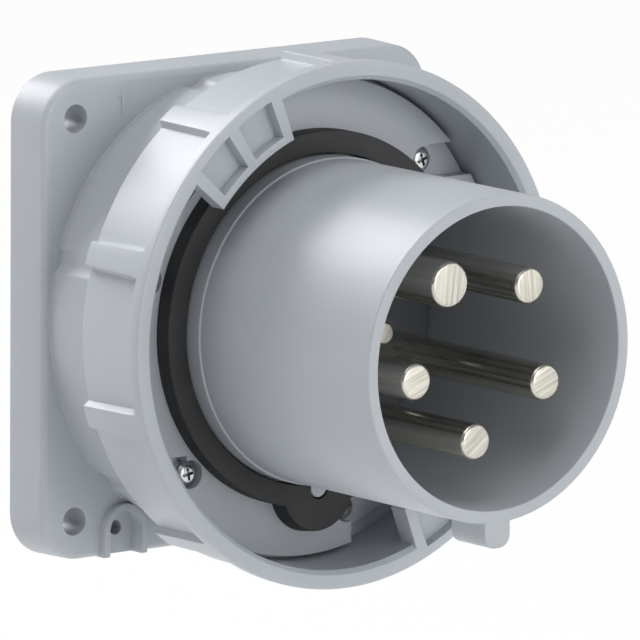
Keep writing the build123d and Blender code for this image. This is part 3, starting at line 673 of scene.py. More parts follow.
def faced_nickel(name, angle):
    """The pin's end: fine, uneven parallel tool marks at an angle of their own."""
    material, tree, shader = new_metal(name)
    turn = radians(90 - angle)
    marks = object_noise(tree, 2400.0, 2.0, stretch=(1, 1, 0.03), turn=turn)
    waves = object_noise(tree, 420.0, 2.0, stretch=(1, 1, 0.10), turn=turn)
    base = mottled(tree, marks, FACED_NICKEL, 0.56, 1.12, from_low=0.32, from_high=0.68)
    feed(tree, shader, blended(tree, ranged(tree, waves, 0.0, 0.5), base,
                               shade_of(FACED_NICKEL, 0.92)),
         ranged(tree, marks, 0.36, 0.52), bumped(tree, marks, None, strength=0.22))
    return material


def zinc_steel(name):
    """Small plated screws: bright, a little cloudy, soft at the edges."""
    material, tree, shader = new_metal(name)
    clouds = object_noise(tree, 500.0, 3.0)
    rounded = rounded_normal(tree, ZINC_EDGE)
    feed(tree, shader, mottled(tree, clouds, ZINC_STEEL, darker=0.88, lighter=1.08),
         ranged(tree, clouds, 0.18, 0.34), bumped(tree, clouds, rounded, strength=0.08))
    return material


nickel_plate = drawn_nickel("nickel_plate")
screw_steel = zinc_steel("screw_steel")
print("colours of nickel and steel:", NICKEL, ZINC_STEEL)

# %% [markdown]
# ## Flange and neck
#
# The housing is one thick-walled moulding. Its flange is a cube whose four long edges are bevelled
# into corner radii, with a smaller rounding along the front rim, and its back is cored out to leave
# even walls, as a mould maker does to avoid sink marks. The neck is one turned outline with the
# shoulder that keeps the locking ring in place, and it is fused to the flange.

# %% Flange
PAST = 1.0
HALF_FLANGE, HALF_FLANGE_FRONT, FLANGE_THICK = 52.9, 52.6, 11.5
FLANGE_CORNER, CORNER_SEGMENTS = 10.3, 14
FLANGE_EDGE, EDGE_SEGMENTS = 1.5, 5
HOLE_PLACE, HOLE_RADIUS, HOLE_STEPS = 44.05, 3.1, 64
HOLE_SPOTS = [(-HOLE_PLACE, -HOLE_PLACE), (HOLE_PLACE, -HOLE_PLACE),
              (HOLE_PLACE, HOLE_PLACE), (-HOLE_PLACE, HOLE_PLACE)]
CORING_DEPTH, WALL = 7.0, 3.0
NECK_RADIUS, FLANGE_BORE = 50.8, 49.0


def rounded_block(half, corner, rear, front):
    """A square block with its four long edges rounded."""
    form = block(-half, half, -half, half, rear, front)
    long_edges = [e for e in form.edges
                  if abs(e.verts[0].co.y - e.verts[1].co.y) > 0.5 * (front - rear)]
    return bevel_edges(form, long_edges, corner, CORNER_SEGMENTS)


def flange_plate():
    form = rounded_block(HALF_FLANGE, FLANGE_CORNER, 0, FLANGE_THICK)
    front_verts = [v for v in form.verts if v.co.y < -FLANGE_THICK / 2]
    narrowing = HALF_FLANGE_FRONT / HALF_FLANGE
    bmesh.ops.scale(form, verts=front_verts, vec=(narrowing, 1, narrowing))
    return bevel_edges(form, on_front(form.edges, FLANGE_THICK), FLANGE_EDGE, EDGE_SEGMENTS)


def corner_coring():
    """What is left out of the flange's back: four corners, less a boss round each hole."""
    form = rounded_block(HALF_FLANGE - WALL, FLANGE_CORNER - WALL, -PAST, CORING_DEPTH)
    bosses = bars(HOLE_SPOTS, HOLE_RADIUS + WALL, -2 * PAST, CORING_DEPTH + PAST, HOLE_STEPS)
    return cut(form, bar(NECK_RADIUS, -2 * PAST, CORING_DEPTH + PAST), bosses)


def flange_hole(centre):
    """A screw hole with a crisp, barely broken edge."""
    break_start, break_end = FLANGE_THICK - 0.1, FLANGE_THICK + 0.1
    outline = [(0, -PAST), (HOLE_RADIUS, -PAST), (HOLE_RADIUS, break_start),
               (HOLE_RADIUS + 0.2, break_end), (0, break_end)]
    return spin_outline(outline, HOLE_STEPS, False, centre)


print("flange:", 2 * HALF_FLANGE, "mm square,", FLANGE_THICK, "mm thick")

# %% Neck, shoulder and screw bosses
FLANGE_OPENING, NECK_BORE, NECK_FLOOR = 36.5, 47.2, 4.5
FOOT_RADIUS, FOOT_REAR, FOOT_FRONT = 51.1, 6.0, FLANGE_THICK + 0.5
NECK_AT_FOOT, NECK_AT_SHOULDER = 50.82, 50.5
SHOULDER_RADIUS, SHOULDER_REAR, RIM_FORWARD = 53.0, 26.5, 29.1
FLANGE_SEAL_INNER, FLANGE_SEAL_OUTER, FLANGE_SEAL_DEPTH = 42.0, 45.0, 2.2
BODY_SEAL_INNER, BODY_SEAL_OUTER, BODY_SEAL_FLOOR = 48.3, 49.9, 27.6
SCREW_ANGLES = [44.5 + 60 * i for i in range(6)]
SCREW_CIRCLE, SCREW_BOSS_RADIUS, SCREW_PASSAGE_RADIUS, SCREW_STEPS = 44.7, 4.2, 1.83, 40
SCREW_SPOTS = [spot(SCREW_CIRCLE, angle) for angle in SCREW_ANGLES]
SCREW_HOLE_FLOOR = 16.2
DIP_DEPTH, DIP_RADIUS, DIP_STEPS = 0.8, 5.0, 64


def neck_form():
    """The neck with its stepped foot, its shoulder, the floor ring and both seal grooves."""
    return spin_outline([
        (FLANGE_OPENING, 0.0, 0.4), (FLANGE_SEAL_INNER, 0.0),
        (FLANGE_SEAL_INNER, FLANGE_SEAL_DEPTH), (FLANGE_SEAL_OUTER, FLANGE_SEAL_DEPTH),
        (FLANGE_SEAL_OUTER, 0.0), (NECK_RADIUS, 0.0), (NECK_RADIUS, FOOT_REAR),
        (FOOT_RADIUS, FOOT_REAR), (FOOT_RADIUS, FOOT_FRONT, 0.12), (NECK_AT_FOOT, FOOT_FRONT),
        (NECK_AT_SHOULDER, SHOULDER_REAR - 0.3), (SHOULDER_RADIUS, SHOULDER_REAR, 0.4),
        (SHOULDER_RADIUS, RIM_FORWARD, 0.4), (BODY_SEAL_OUTER, RIM_FORWARD),
        (BODY_SEAL_OUTER, BODY_SEAL_FLOOR), (BODY_SEAL_INNER, BODY_SEAL_FLOOR),
        (BODY_SEAL_INNER, RIM_FORWARD), (NECK_BORE, RIM_FORWARD), (NECK_BORE, NECK_FLOOR),
        (FLANGE_OPENING, NECK_FLOOR)])


def screw_bosses():
    return bars(SCREW_SPOTS, SCREW_BOSS_RADIUS, NECK_FLOOR - PAST, RIM_FORWARD - NEAR, SCREW_STEPS)


def screw_passages(rear, front):
    return bars(SCREW_SPOTS, SCREW_PASSAGE_RADIUS, rear, front, SCREW_STEPS)


def neck_dips():
    """Shallow hollows along the neck, in front of the screw bosses, as even walls need them."""
    circle = NECK_RADIUS - DIP_DEPTH + DIP_RADIUS
    spots = [spot(circle, angle) for angle in SCREW_ANGLES]
    return bars(spots, DIP_RADIUS, FLANGE_THICK + 0.02, SHOULDER_REAR - 0.2, DIP_STEPS)


print("neck:", 2 * NECK_RADIUS, "mm across, bosses at", [round(a, 1) for a in SCREW_ANGLES])

# %% [markdown]
# ## Small forms on the flange
#
# At the lower left an arched wall stands on the flange round a pocket with a screw hole, and at the
# upper left a small raised arrow marks the top. Both are flat outlines pushed forward. They are
# fused and cut with the rest rather than set on top, so that the moulding stays one closed shell.

# %% Arched pocket, arrow and assembly of the housing
ARCH_X, ARCH_Z, ARCH_FOOT = -31.2, -47.1, -52.72
ARCH_INNER, ARCH_WALL, ARCH_EDGE, ARCH_STEPS = 4.4, 1.4, 0.35, 24
ARCH_FRONT, ARCH_FLOOR, ARCH_TRIM_RADIUS = 13.3, 9.2, 49.5
POST_RADIUS, POST_HOLE_RADIUS, POST_HOLE_DEPTH, POST_STEPS = 3.6, 1.6, 7.0, 48
ARROW_REAR, ARROW_DEPTH = FLANGE_THICK - 0.3, 0.55
ARROW_FOOT, ARROW_NECK, ARROW_TIP = 44.0, 48.0, 49.7
ARROW_HALF_STEM, ARROW_HALF_HEAD = 0.6, 1.8


def arch_prism(radius, foot, rear, front):
    """A round-topped block, standing on the flange's lower edge."""
    feet = [(ARCH_X - radius, foot), (ARCH_X + radius, foot)]
    return arc_prism((ARCH_X, ARCH_Z), (ARCH_X + radius, ARCH_Z), pi, ARCH_STEPS, feet, rear, front)


def arch_wall():
    """The arch's outside with a softened front rim, cut short where the neck begins."""
    form = arch_prism(ARCH_INNER + ARCH_WALL, ARCH_FOOT, CORING_DEPTH, ARCH_FRONT)
    bevel_edges(form, on_front(sharp_edges(form), ARCH_FRONT), ARCH_EDGE, 2)
    return cut(form, bar(ARCH_TRIM_RADIUS, CORING_DEPTH - PAST, ARCH_FRONT + PAST))


def arrow_prism():
    """The small raised arrow that marks the top."""
    form = bmesh.new()
    points = [(0, ARROW_TIP), (-ARROW_HALF_HEAD, ARROW_NECK), (-ARROW_HALF_STEM, ARROW_NECK),
              (-ARROW_HALF_STEM, ARROW_FOOT), (ARROW_HALF_STEM, ARROW_FOOT),
              (ARROW_HALF_STEM, ARROW_NECK), (ARROW_HALF_HEAD, ARROW_NECK)]
    verts = [form.verts.new((ARCH_X + x, -ARROW_REAR, z)) for x, z in points]
    return pushed_forward(form, form.faces.new(verts), ARROW_DEPTH)


def housing_form():
    arch = (ARCH_X, ARCH_Z)
    form = cut(flange_plate(), corner_coring(), bar(FLANGE_BORE, -PAST, FLANGE_THICK + PAST))
    form = fuse(form, arch_wall())
    form = fuse(form, cut(neck_form(), neck_dips()), screw_bosses(),
                bar(POST_RADIUS, NEAR, CORING_DEPTH + 0.5, POST_STEPS, arch))
    space = arch_prism(ARCH_INNER, ARCH_FOOT - PAST, ARCH_FLOOR, ARCH_FRONT + PAST)
    hole = bar(POST_HOLE_RADIUS, ARCH_FLOOR - POST_HOLE_DEPTH, ARCH_FRONT + PAST, POST_STEPS, arch)
    form = cut(form, space, hole, gather([flange_hole(centre) for centre in HOLE_SPOTS]),
               screw_passages(SCREW_HOLE_FLOOR, RIM_FORWARD + PAST))
    return fuse(form, arrow_prism())


finish_piece(housing_form(), "housing_shell", housing_plastic, "inlet", "flange_housing")

# %% [markdown]
# ## Locking ring
#
# The ring has ten ribs for grip, each wider at the front, and a full band at its front edge. It is
# spun once with a column of faces on each side of every rib, and then those columns are pushed in
# and turned a little so that the hollows between the ribs appear. Ribs that are fused on one by one
# would leave ragged meeting lines. This way the mesh stays in clean strips, so every rib edge can
# be bevelled.

# %% Ring with its ribs
RING_REAR, RING_FRONT = 29.4, 51.46
RING_RADIUS, GRIP_RADIUS, RING_BORE = 57.55, 55.8, 53.4
LIP_RADIUS, LIP_FRONT = 50.98, 31.8
RIB_COUNT, RIB_FIRST = 10, 161.4
RIB_TOP_COLUMNS, HOLLOW_COLUMNS = 3, 20
RIB_HALF_REAR, RIB_HALF_FRONT, RIB_FLANK, RIB_EDGE = 2.54, 2.95, 0.5, 0.5
REAR_ROUNDING, FRONT_ROUNDING, MOUTH_CHAMFER = 0.8, 0.55, 1.0
RUN_OUT_START, RUN_OUT_END = 46.4, 48.3


def rib_columns():
    """One rib's columns: for each, its share across the top or across the hollow after it."""
    tops = [("top", i / RIB_TOP_COLUMNS) for i in range(RIB_TOP_COLUMNS + 1)]
    hollows = [("hollow", i / HOLLOW_COLUMNS) for i in range(HOLLOW_COLUMNS + 1)]
    return tops + hollows


def column_angle(kind, share, forward):
    """Where a column stands from the rib's middle, in degrees."""
    along = min(1.0, max(0.0, (forward - RING_REAR) / (RUN_OUT_END - RING_REAR)))
    half = RIB_HALF_REAR + (RIB_HALF_FRONT - RIB_HALF_REAR) * along
    top = degrees(half / RING_RADIUS)
    foot = degrees((half + RIB_FLANK) / GRIP_RADIUS)
    if kind == "top":
        return -top + 2 * top * share
    return foot + (360 / RIB_COUNT - 2 * foot) * share


def is_rib_edge(edge):
    """True on the lengthwise edges of a rib and the edges where a hollow runs out."""
    forwards = [-v.co.y for v in edge.verts]
    lowest = min(radius_of(v.co) for v in edge.verts)
    outside = lowest > GRIP_RADIUS - REAR_ROUNDING - 0.05
    return outside and RING_REAR + 0.1 < max(forwards) < RUN_OUT_END + 0.1


def ring_form():
    outline = [
        (LIP_RADIUS, RING_REAR), (RING_RADIUS, RING_REAR, REAR_ROUNDING),
        (RING_RADIUS, RUN_OUT_START), (RING_RADIUS, RUN_OUT_END),
        (RING_RADIUS, RING_FRONT, FRONT_ROUNDING), (RING_BORE + MOUTH_CHAMFER, RING_FRONT, 0.15),
        (RING_BORE, RING_FRONT - MOUTH_CHAMFER), (RING_BORE, LIP_FRONT), (LIP_RADIUS, LIP_FRONT)]
    columns = rib_columns() * RIB_COUNT
    form = spin_outline(outline, len(columns))
    for vert in form.verts:
        radius, forward = radius_of(vert.co), -vert.co.y
        index = round(angle_of(vert.co) * len(columns) / 360) % len(columns)
        kind, share = columns[index]
        rib = index // len(rib_columns())
        outside = radius > RING_RADIUS - REAR_ROUNDING - NEAR
        if kind == "hollow" and outside and forward < RUN_OUT_START + NEAR:
            radius -= RING_RADIUS - GRIP_RADIUS
        angle = RIB_FIRST + rib * 360 / RIB_COUNT + column_angle(kind, share, forward)
        vert.co = place(radius, angle, forward)
    bmesh.ops.recalc_face_normals(form, faces=form.faces)
    flanks = [e for e in sharp_edges(form, 12) if is_rib_edge(e)]
    return bevel_edges(form, flanks, RIB_EDGE, 4)


print("ring:", 2 * RING_RADIUS, "mm across,", RIB_COUNT, "ribs")

# %% [markdown]
# ## Cams and stops
#
# Two cams reach inwards from the ring's front edge and draw the mating connector in as the ring
# turns. Each is a sector whose back slopes, with two cored pockets in its face. The pockets could
# be dark patches, but real hollows catch the light as the real ones do. Two stops inside the ring
# end its turn.

# %% Cams, stops and assembly of the ring
CAM_START, CAM_SPAN, CAM_INNER, CAM_EDGE = 110.3, 30.0, 44.7, 0.3
CAM_THICK_START, CAM_THICK_END = 5.0, 3.9
POCKET_DEPTH, POCKET_INNER, POCKET_OUTER, POCKET_WALL = 2.7, 46.5, 55.3, 3.0
STOP_START, STOP_SPAN, STOP_FRONT = 334.22, 8.0, 36.8
CAM_STEPS, POCKET_STEPS, STOP_STEPS = 24, 12, 8


def cam_form():
    """A sector whose back slopes, so that turning the ring draws the connector in."""
    rear = RING_FRONT - CAM_THICK_START
    form = sector(CAM_INNER, RING_BORE + 1.2, rear, RING_FRONT, CAM_START, CAM_START + CAM_SPAN,
                  CAM_STEPS)
    for vert in form.verts:
        if -vert.co.y < rear + NEAR:
            share = min(1.0, max(0.0, (angle_of(vert.co) - CAM_START) / CAM_SPAN))
            vert.co.y -= (CAM_THICK_START - CAM_THICK_END) * share
    free = [e for e in sharp_edges(form) if all(radius_of(v.co) < RING_BORE for v in e.verts)]
    return bevel_edges(form, free, CAM_EDGE, 2)


def cam_pockets():
    span = (CAM_SPAN - 3 * POCKET_WALL) / 2
    starts = [CAM_START + POCKET_WALL + i * (span + POCKET_WALL) for i in range(2)]
    return gather([sector(POCKET_INNER, POCKET_OUTER, RING_FRONT - POCKET_DEPTH, RING_FRONT + PAST,
                          start, start + span, POCKET_STEPS) for start in starts])


def ring_stop():
    return sector(LIP_RADIUS, RING_BORE + 1.0, LIP_FRONT, STOP_FRONT, STOP_START,
                  STOP_START + STOP_SPAN, STOP_STEPS)


def whole_ring():
    form = fuse(ring_form(), both_sides(cam_form), both_sides(ring_stop))
    return cut(form, both_sides(cam_pockets))


finish_piece(whole_ring(), "locking_ring_look", ring_plastic, "ring", "locking_ring")

# %% [markdown]
# ## Shroud and its base flange
#
# The shroud is a smooth tube with a low collar at its foot and a key nose at 6 o'clock. Its base
# flange carries six screws in slots that run out to the rim. One turned outline gives the body, and
# the slots, the travel recesses for the ring's stops and the relief beside the upper cam are cut,
# as the mould's inserts leave them. A subdivision surface would soften the slots' crisp edges.

# %% Shroud body and its key
SLEEVE_BORE, SLEEVE_RADIUS, SLEEVE_REAR = 34.5, 39.0, 14.0
SEAT_RADIUS, SEAT_REAR = 50.9, 29.1
PLATE_REAR, PLATE_FRONT, PLATE_RADIUS = 32.1, 36.8, 52.5
TUBE_RADIUS, TUBE_FRONT, MOUTH_BORE, MOUTH_EDGE = 35.5, 102.8, 32.74, 0.35
FLOOR_BORE, FLOOR_REAR, FLOOR_FRONT = 32.0, 32.0, 39.0
COLLAR_RADIUS, COLLAR_FRONT = 35.85, 44.6
TUBE_STEPS = 320
NOSE_HALF, NOSE_LOW, NOSE_TOP, NOSE_LENGTH = 3.45, -41.0, -33.6, 11.5
NOSE_ROUNDING, NOSE_EDGE = 2.9, 0.4


def shroud_body():
    return spin_outline([
        (SLEEVE_BORE, SLEEVE_REAR, 0.3), (SLEEVE_RADIUS, SLEEVE_REAR, 0.5),
        (SLEEVE_RADIUS, SEAT_REAR), (SEAT_RADIUS, SEAT_REAR), (SEAT_RADIUS, PLATE_REAR),
        (PLATE_RADIUS, PLATE_REAR), (PLATE_RADIUS, PLATE_FRONT, 0.3), (COLLAR_RADIUS, PLATE_FRONT),
        (COLLAR_RADIUS, COLLAR_FRONT, 0.12), (TUBE_RADIUS, COLLAR_FRONT + 0.25, 0.1),
        (TUBE_RADIUS, TUBE_FRONT, 0.5), (MOUTH_BORE, TUBE_FRONT, MOUTH_EDGE),
        (FLOOR_BORE, FLOOR_FRONT), (FLOOR_BORE, FLOOR_REAR), (SLEEVE_BORE, FLOOR_REAR)],
        TUBE_STEPS)


def key_nose():
    """A rounded tab under the mouth."""
    form = block(-NOSE_HALF, NOSE_HALF, NOSE_LOW, NOSE_TOP, TUBE_FRONT - NOSE_LENGTH, TUBE_FRONT)
    low = [e for e in form.edges if all(v.co.z < NOSE_LOW + 0.1 for v in e.verts)
           and abs(e.verts[0].co.y - e.verts[1].co.y) > NOSE_LENGTH / 2]
    bevel_edges(form, low, NOSE_ROUNDING, 8)
    bevel_edges(form, on_front(sharp_edges(form, 60), TUBE_FRONT), NOSE_EDGE, 2)
    return cut(form, bar(MOUTH_BORE + 0.8, TUBE_FRONT - NOSE_LENGTH - PAST, TUBE_FRONT + PAST,
                         TUBE_STEPS))


print("shroud:", 2 * TUBE_RADIUS, "mm across, its mouth", TUBE_FRONT, "mm forward")

# %% Slots, recesses and assembly of the shroud
SLOT_FLOOR, SLOT_END_RADIUS, SLOT_START, SLOT_STEPS = 33.2, 3.15, 1.0, 28
SLOT_WIDE_SIDE, SLOT_NARROW_SIDE = 4.2, 3.4
SLIVER_LEFT, SLIVER_RIGHT = 12.5, 30
RECESS_INNER, RECESS_START, RECESS_END, RECESS_STEPS = 50.1, 283.77, 342.67, 40
RELIEF_INNER, RELIEF_START, RELIEF_END, RELIEF_STEPS = 43.3, 134.0, 143.5, 8
GASKET_FRONT, LOBE_Z, LOBE_POST_RADIUS = 41.0, -37.0, 2.1
HOLDER_SCREW_SPOTS = [spot(36.75, 45 + 90 * i) for i in range(4)]
HOLDER_HOLE_RADIUS, HOLDER_HOLE_STEPS, HOLDER_HOLE_FLOOR = 1.33, 24, 22.5


def slot_prism(centre, rear, front):
    """A slot with a round inner end for the screw's head, open sideways through the rim."""
    x, z = centre
    side = 1 if x > 0 else -1
    rise = (SLOT_END_RADIUS ** 2 - SLOT_START ** 2) ** 0.5
    opening = acos(SLOT_START / SLOT_END_RADIUS)
    near, reach = x + SLOT_START * side, (PLATE_RADIUS + PAST) * side
    wide, narrow = z - SLOT_WIDE_SIDE * side, z + SLOT_NARROW_SIDE * side
    return arc_prism(centre, (near, z + rise * side), 2 * (pi - opening), SLOT_STEPS,
                     [(near, wide), (reach, wide), (reach, narrow), (near, narrow)], rear, front)


def screw_slots():
    return gather([slot_prism(centre, SLOT_FLOOR, PLATE_FRONT + PAST) for centre in SCREW_SPOTS])


def stop_recess():
    return sector(RECESS_INNER, PLATE_RADIUS + PAST, PLATE_REAR - 0.2, PLATE_FRONT + PAST,
                  RECESS_START, RECESS_END, RECESS_STEPS)


def slot_sliver():
    """A cutter for the sliver of plate that would be left beyond the lowest slot."""
    return block(SLIVER_LEFT, SLIVER_RIGHT, -PLATE_RADIUS - PAST, -SCREW_CIRCLE,
                 SLOT_FLOOR + NEAR, PLATE_FRONT + 2 * PAST)


def cam_relief():
    return sector(RELIEF_INNER, PLATE_RADIUS + 2 * PAST, SLOT_FLOOR + 0.02, PLATE_FRONT + PAST,
                  RELIEF_START, RELIEF_END, RELIEF_STEPS)


def lobe_post():
    outline = [(0, PLATE_FRONT - PAST), (LOBE_POST_RADIUS, PLATE_FRONT - PAST),
               (LOBE_POST_RADIUS, GASKET_FRONT, 0.25), (0, GASKET_FRONT)]
    return spin_outline(outline, 40, False, (0, LOBE_Z))


def holder_screw_holes(rear, front):
    return bars(HOLDER_SCREW_SPOTS, HOLDER_HOLE_RADIUS, rear, front, HOLDER_HOLE_STEPS)


def shroud_form():
    form = fuse(shroud_body(), key_nose())
    form = cut(form, screw_slots(), screw_passages(SEAT_REAR - PAST, PLATE_FRONT - PAST),
               both_sides(stop_recess), both_sides(slot_sliver), cam_relief())
    return cut(fuse(form, lobe_post()), holder_screw_holes(SLEEVE_REAR - PAST, HOLDER_HOLE_FLOOR))


finish_piece(shroud_form(), "shroud_look", shroud_plastic, "inlet", "pin_shroud")

# %% [markdown]
# ## Face gasket
#
# The black gasket seals against the mating connector. It is a flat ring with a round lobe that
# holds it on a post. The lobe's wall leans a little, as rubber that is pulled from a mould needs,
# and the top edges are rounded. Both outlines are turned and fused, since each is simple and their
# meeting line is as sharp on the real one.

# %% Gasket
GASKET_RADIUS, GASKET_BORE, GASKET_EDGE = 41.2, 36.25, 0.35
LOBE_RADIUS, LOBE_FOOT, LOBE_STEPS = 9.5, 10.1, 96
LOBE_HOLE_RADIUS, LOBE_HOLE_STEPS = 2.5, 48


def gasket_form():
    flat = spin_outline([(GASKET_BORE, PLATE_FRONT), (GASKET_RADIUS, PLATE_FRONT),
                         (GASKET_RADIUS, GASKET_FRONT, GASKET_EDGE),
                         (GASKET_BORE, GASKET_FRONT, 0.3)])
    lobe = spin_outline([(0, PLATE_FRONT), (LOBE_FOOT, PLATE_FRONT),
                         (LOBE_RADIUS, GASKET_FRONT, GASKET_EDGE), (0, GASKET_FRONT)],
                        LOBE_STEPS, False, (0, LOBE_Z))
    below, above = PLATE_FRONT - PAST, GASKET_FRONT + PAST
    form = fuse(flat, cut(lobe, bar(GASKET_BORE + 1.5, below, above)))
    return cut(form, bar(LOBE_HOLE_RADIUS, below, above, LOBE_HOLE_STEPS, (0, LOBE_Z)))


finish_piece(gasket_form(), "gasket_look", seal_rubber, "inlet", "face_gasket")

# %% [markdown]
# ## Screws
#
# Six pan-head screws hold the base flange, and four smaller ones the terminal holder. The head is
# turned, and a tapered cross is cut into it, because a cross that is only a bump shows no depth
# from the side. Each screw stops at its own angle, as nobody lines them up by hand.

# %% Screws
CROSS_TURNS = [20, 65, 40, 10, 75, 50]
SCREW_FACETS = 48
# Shares of the head's radius or height:
CROWN, SIDE_HEIGHT, TOP_WIDTH = 0.5, 0.65, 0.62
CROSS_REACH, CROSS_HALF, CROSS_DEPTH, CROSS_TAPER = 0.6, 0.13, 0.55, 0.55


def cross_cutter(reach, half, depth, top):
    arms = [block(-reach, reach, -half, half, top - depth, top + PAST),
            block(-half, half, -reach, reach, top - depth, top + PAST)]
    for arm in arms:
        floor_verts = [v for v in arm.verts if -v.co.y < top - depth + NEAR]
        bmesh.ops.scale(arm, verts=floor_verts, vec=(CROSS_TAPER, 1, CROSS_TAPER))
    return fuse(*arms)


def pan_screw(seat, head_radius, head_height, shank_radius, length, turn):
    """A screw on the axis that points backwards, with its head's underside at the seat."""
    top, end, crown = seat + head_height, seat - length, head_radius * CROWN
    outline = [(0, end), (shank_radius - 0.4, end), (shank_radius, end + 0.6),
               (shank_radius, seat), (head_radius, seat, 0.2),
               (head_radius, seat + head_height * SIDE_HEIGHT, crown),
               (head_radius * TOP_WIDTH, top, crown), (0, top)]
    cross = cross_cutter(head_radius * CROSS_REACH, head_radius * CROSS_HALF,
                         head_height * CROSS_DEPTH, top)
    return cut(spin_outline(outline, SCREW_FACETS, False), turned_about_axis(cross, turn))


def shroud_screw_forms():
    forms = []
    for (x, z), turn in zip(SCREW_SPOTS, CROSS_TURNS):
        form = pan_screw(SLOT_FLOOR, head_radius=2.9, head_height=2.9, shank_radius=1.75,
                         length=16.0, turn=turn)
        bmesh.ops.translate(form, verts=form.verts, vec=(x, 0, z))
        forms.append(form)
    return gather(forms)


finish_piece(shroud_screw_forms(), "shroud_screws_look", screw_steel, "inlet", "shroud_screws",
             limit=CRISP_LIMIT_SCREWS)

# %% [markdown]
# ## Contact carrier and pins
#
# The dark carrier closes the bottom of the shroud and has a raised boss round each pin. The pins
# are turned from bar: a rounded tip, a faced end with tool marks, and a bright plated shaft that
# mirrors the dark inside of the shroud. A table of the six pins drives both, and later the terminal
# holder behind them, so a hole always meets its pin.

# %% Table of the pins
PIN_CIRCLE, PIN_TIP, PILOT_TIP = 18.65, 97.7, 63.7
MAIN = SimpleNamespace(collar=6.9, terminal=6.6, terminal_rear=-20.0, wire_bore=4.6,
                       clamps=(-15.0, -6.5), clamp_bore=3.03, clamp_reach=8,
                       access_bore=3.6, access_start=5)
PILOT = SimpleNamespace(collar=4.4, terminal=4.0, terminal_rear=-12.0, wire_bore=2.0,
                        clamps=(-6.0,), clamp_bore=1.53, clamp_reach=6,
                        access_bore=2.1, access_start=3)


def pin_row(name, angle, radius, mark_angle, distance=PIN_CIRCLE, tip=PIN_TIP, kind=MAIN):
    """One pin. Its angle is also the side from which its clamping screws come."""
    return SimpleNamespace(name=name, angle=angle, radius=radius, mark_angle=mark_angle, tip=tip,
                           distance=distance, centre=spot(distance, angle), kind=kind)


PINS = [
    pin_row("earth_pin", 120, 5.0, 84), pin_row("line_pin_1", 48, 4.0, 96),
    pin_row("line_pin_2", -24, 4.0, 22), pin_row("line_pin_3", -96, 4.0, 35),
    pin_row("neutral_pin", -168, 4.0, 20),
    pin_row("pilot_pin", 12, 2.5, 60, distance=0.0, tip=PILOT_TIP, kind=PILOT),
]
print("pins:", [pin.name for pin in PINS])

# %% Carrier
CARRIER_RADIUS, CARRIER_REAR = 34.2, 24.0
CARRIER_NARROW, CARRIER_FRONT = 31.7, 39.0
CARRIER_SEAL_INNER, CARRIER_SEAL_OUTER, CARRIER_SEAL_FLOOR = 32.55, 33.95, 30.7
BOSS_WALL, BOSS_REAR, BOSS_FRONT = 2.6, 36.0, 41.5
ROOT_STEP, ROOT_PLAY, SEAL_WIDTH, PLAY = 0.3, 0.03, 1.4, 0.3
COLLAR_END, SEAL_END, PIN_HOLE_STEPS, ROOM_STEPS = 28.0, 30.0, 64, 48


def carrier_boss(pin):
    radius = pin.radius + BOSS_WALL
    return spin_outline([(0, BOSS_REAR), (radius, BOSS_REAR), (radius, BOSS_FRONT, 0.5),
                         (0, BOSS_FRONT)], PIN_HOLE_STEPS, False, pin.centre)


def carrier_form():
    form = spin_outline([
        (0, CARRIER_REAR), (CARRIER_RADIUS, CARRIER_REAR), (CARRIER_RADIUS, FLOOR_REAR),
        (CARRIER_SEAL_OUTER, FLOOR_REAR), (CARRIER_SEAL_OUTER, CARRIER_SEAL_FLOOR),
        (CARRIER_SEAL_INNER, CARRIER_SEAL_FLOOR), (CARRIER_SEAL_INNER, FLOOR_REAR),
        (CARRIER_NARROW, FLOOR_REAR), (CARRIER_NARROW, CARRIER_FRONT, 0.4), (0, CARRIER_FRONT)],
        FINE, False)
    form = fuse(form, gather([carrier_boss(pin) for pin in PINS]))
    rear, front = CARRIER_REAR - PAST, BOSS_FRONT + PAST
    holes = [bar(pin.radius + ROOT_STEP + ROOT_PLAY, rear, front, PIN_HOLE_STEPS, pin.centre)
             for pin in PINS]
    seals = [bar(pin.radius + ROOT_STEP + SEAL_WIDTH, rear, SEAL_END, PIN_HOLE_STEPS, pin.centre)
             for pin in PINS]
    rooms = [bar(pin.kind.collar + PLAY, rear, COLLAR_END, ROOM_STEPS, pin.centre) for pin in PINS]
    return cut(form, gather(holes), gather(seals), gather(rooms))


finish_piece(carrier_form(), "carrier_look", insulator_plastic, "inlet", "contact_carrier")

# %% Pins
TIP_ROUNDING, TIP_ROUNDING_SHARE = 0.95, 0.24
PIN_STEPS = 96


def pin_form(pin):
    """A pin in one piece with its collar and its drilled terminal, whose bore ends at 0."""
    kind, root = pin.kind, pin.radius + ROOT_STEP
    rounding = min(TIP_ROUNDING, pin.radius * TIP_ROUNDING_SHARE)
    outline = [(0, 1.2), (kind.wire_bore, 0.0), (kind.wire_bore, kind.terminal_rear, 0.3),
               (kind.terminal, kind.terminal_rear, 0.4), (kind.terminal, CARRIER_REAR),
               (kind.collar, CARRIER_REAR, 0.2), (kind.collar, COLLAR_END, 0.2),
               (root, COLLAR_END), (root, BOSS_FRONT), (pin.radius, BOSS_FRONT),
               (pin.radius, pin.tip, rounding), (0, pin.tip)]
    form = spin_outline(outline, PIN_STEPS, False, pin.centre)
    clamp_holes = [cross_bar(kind.clamp_bore, pin.angle, pin.distance,
                             pin.distance + kind.clamp_reach, forward) for forward in kind.clamps]
    return cut(form, *clamp_holes)


def mark_end(piece, pin):
    """Gives the flat end of a pin its own material."""
    piece.data.materials.append(faced_nickel(pin.name + "_end", pin.mark_angle))
    for face in piece.data.polygons:
        if face.normal.y < -0.98 and face.center.y < -(pin.tip - 0.3) * MM:
            face.material_index = 1


for pin in PINS:
    look = finish_piece(pin_form(pin), pin.name + "_look", nickel_plate, "inlet", pin.name)
    mark_end(look, pin)

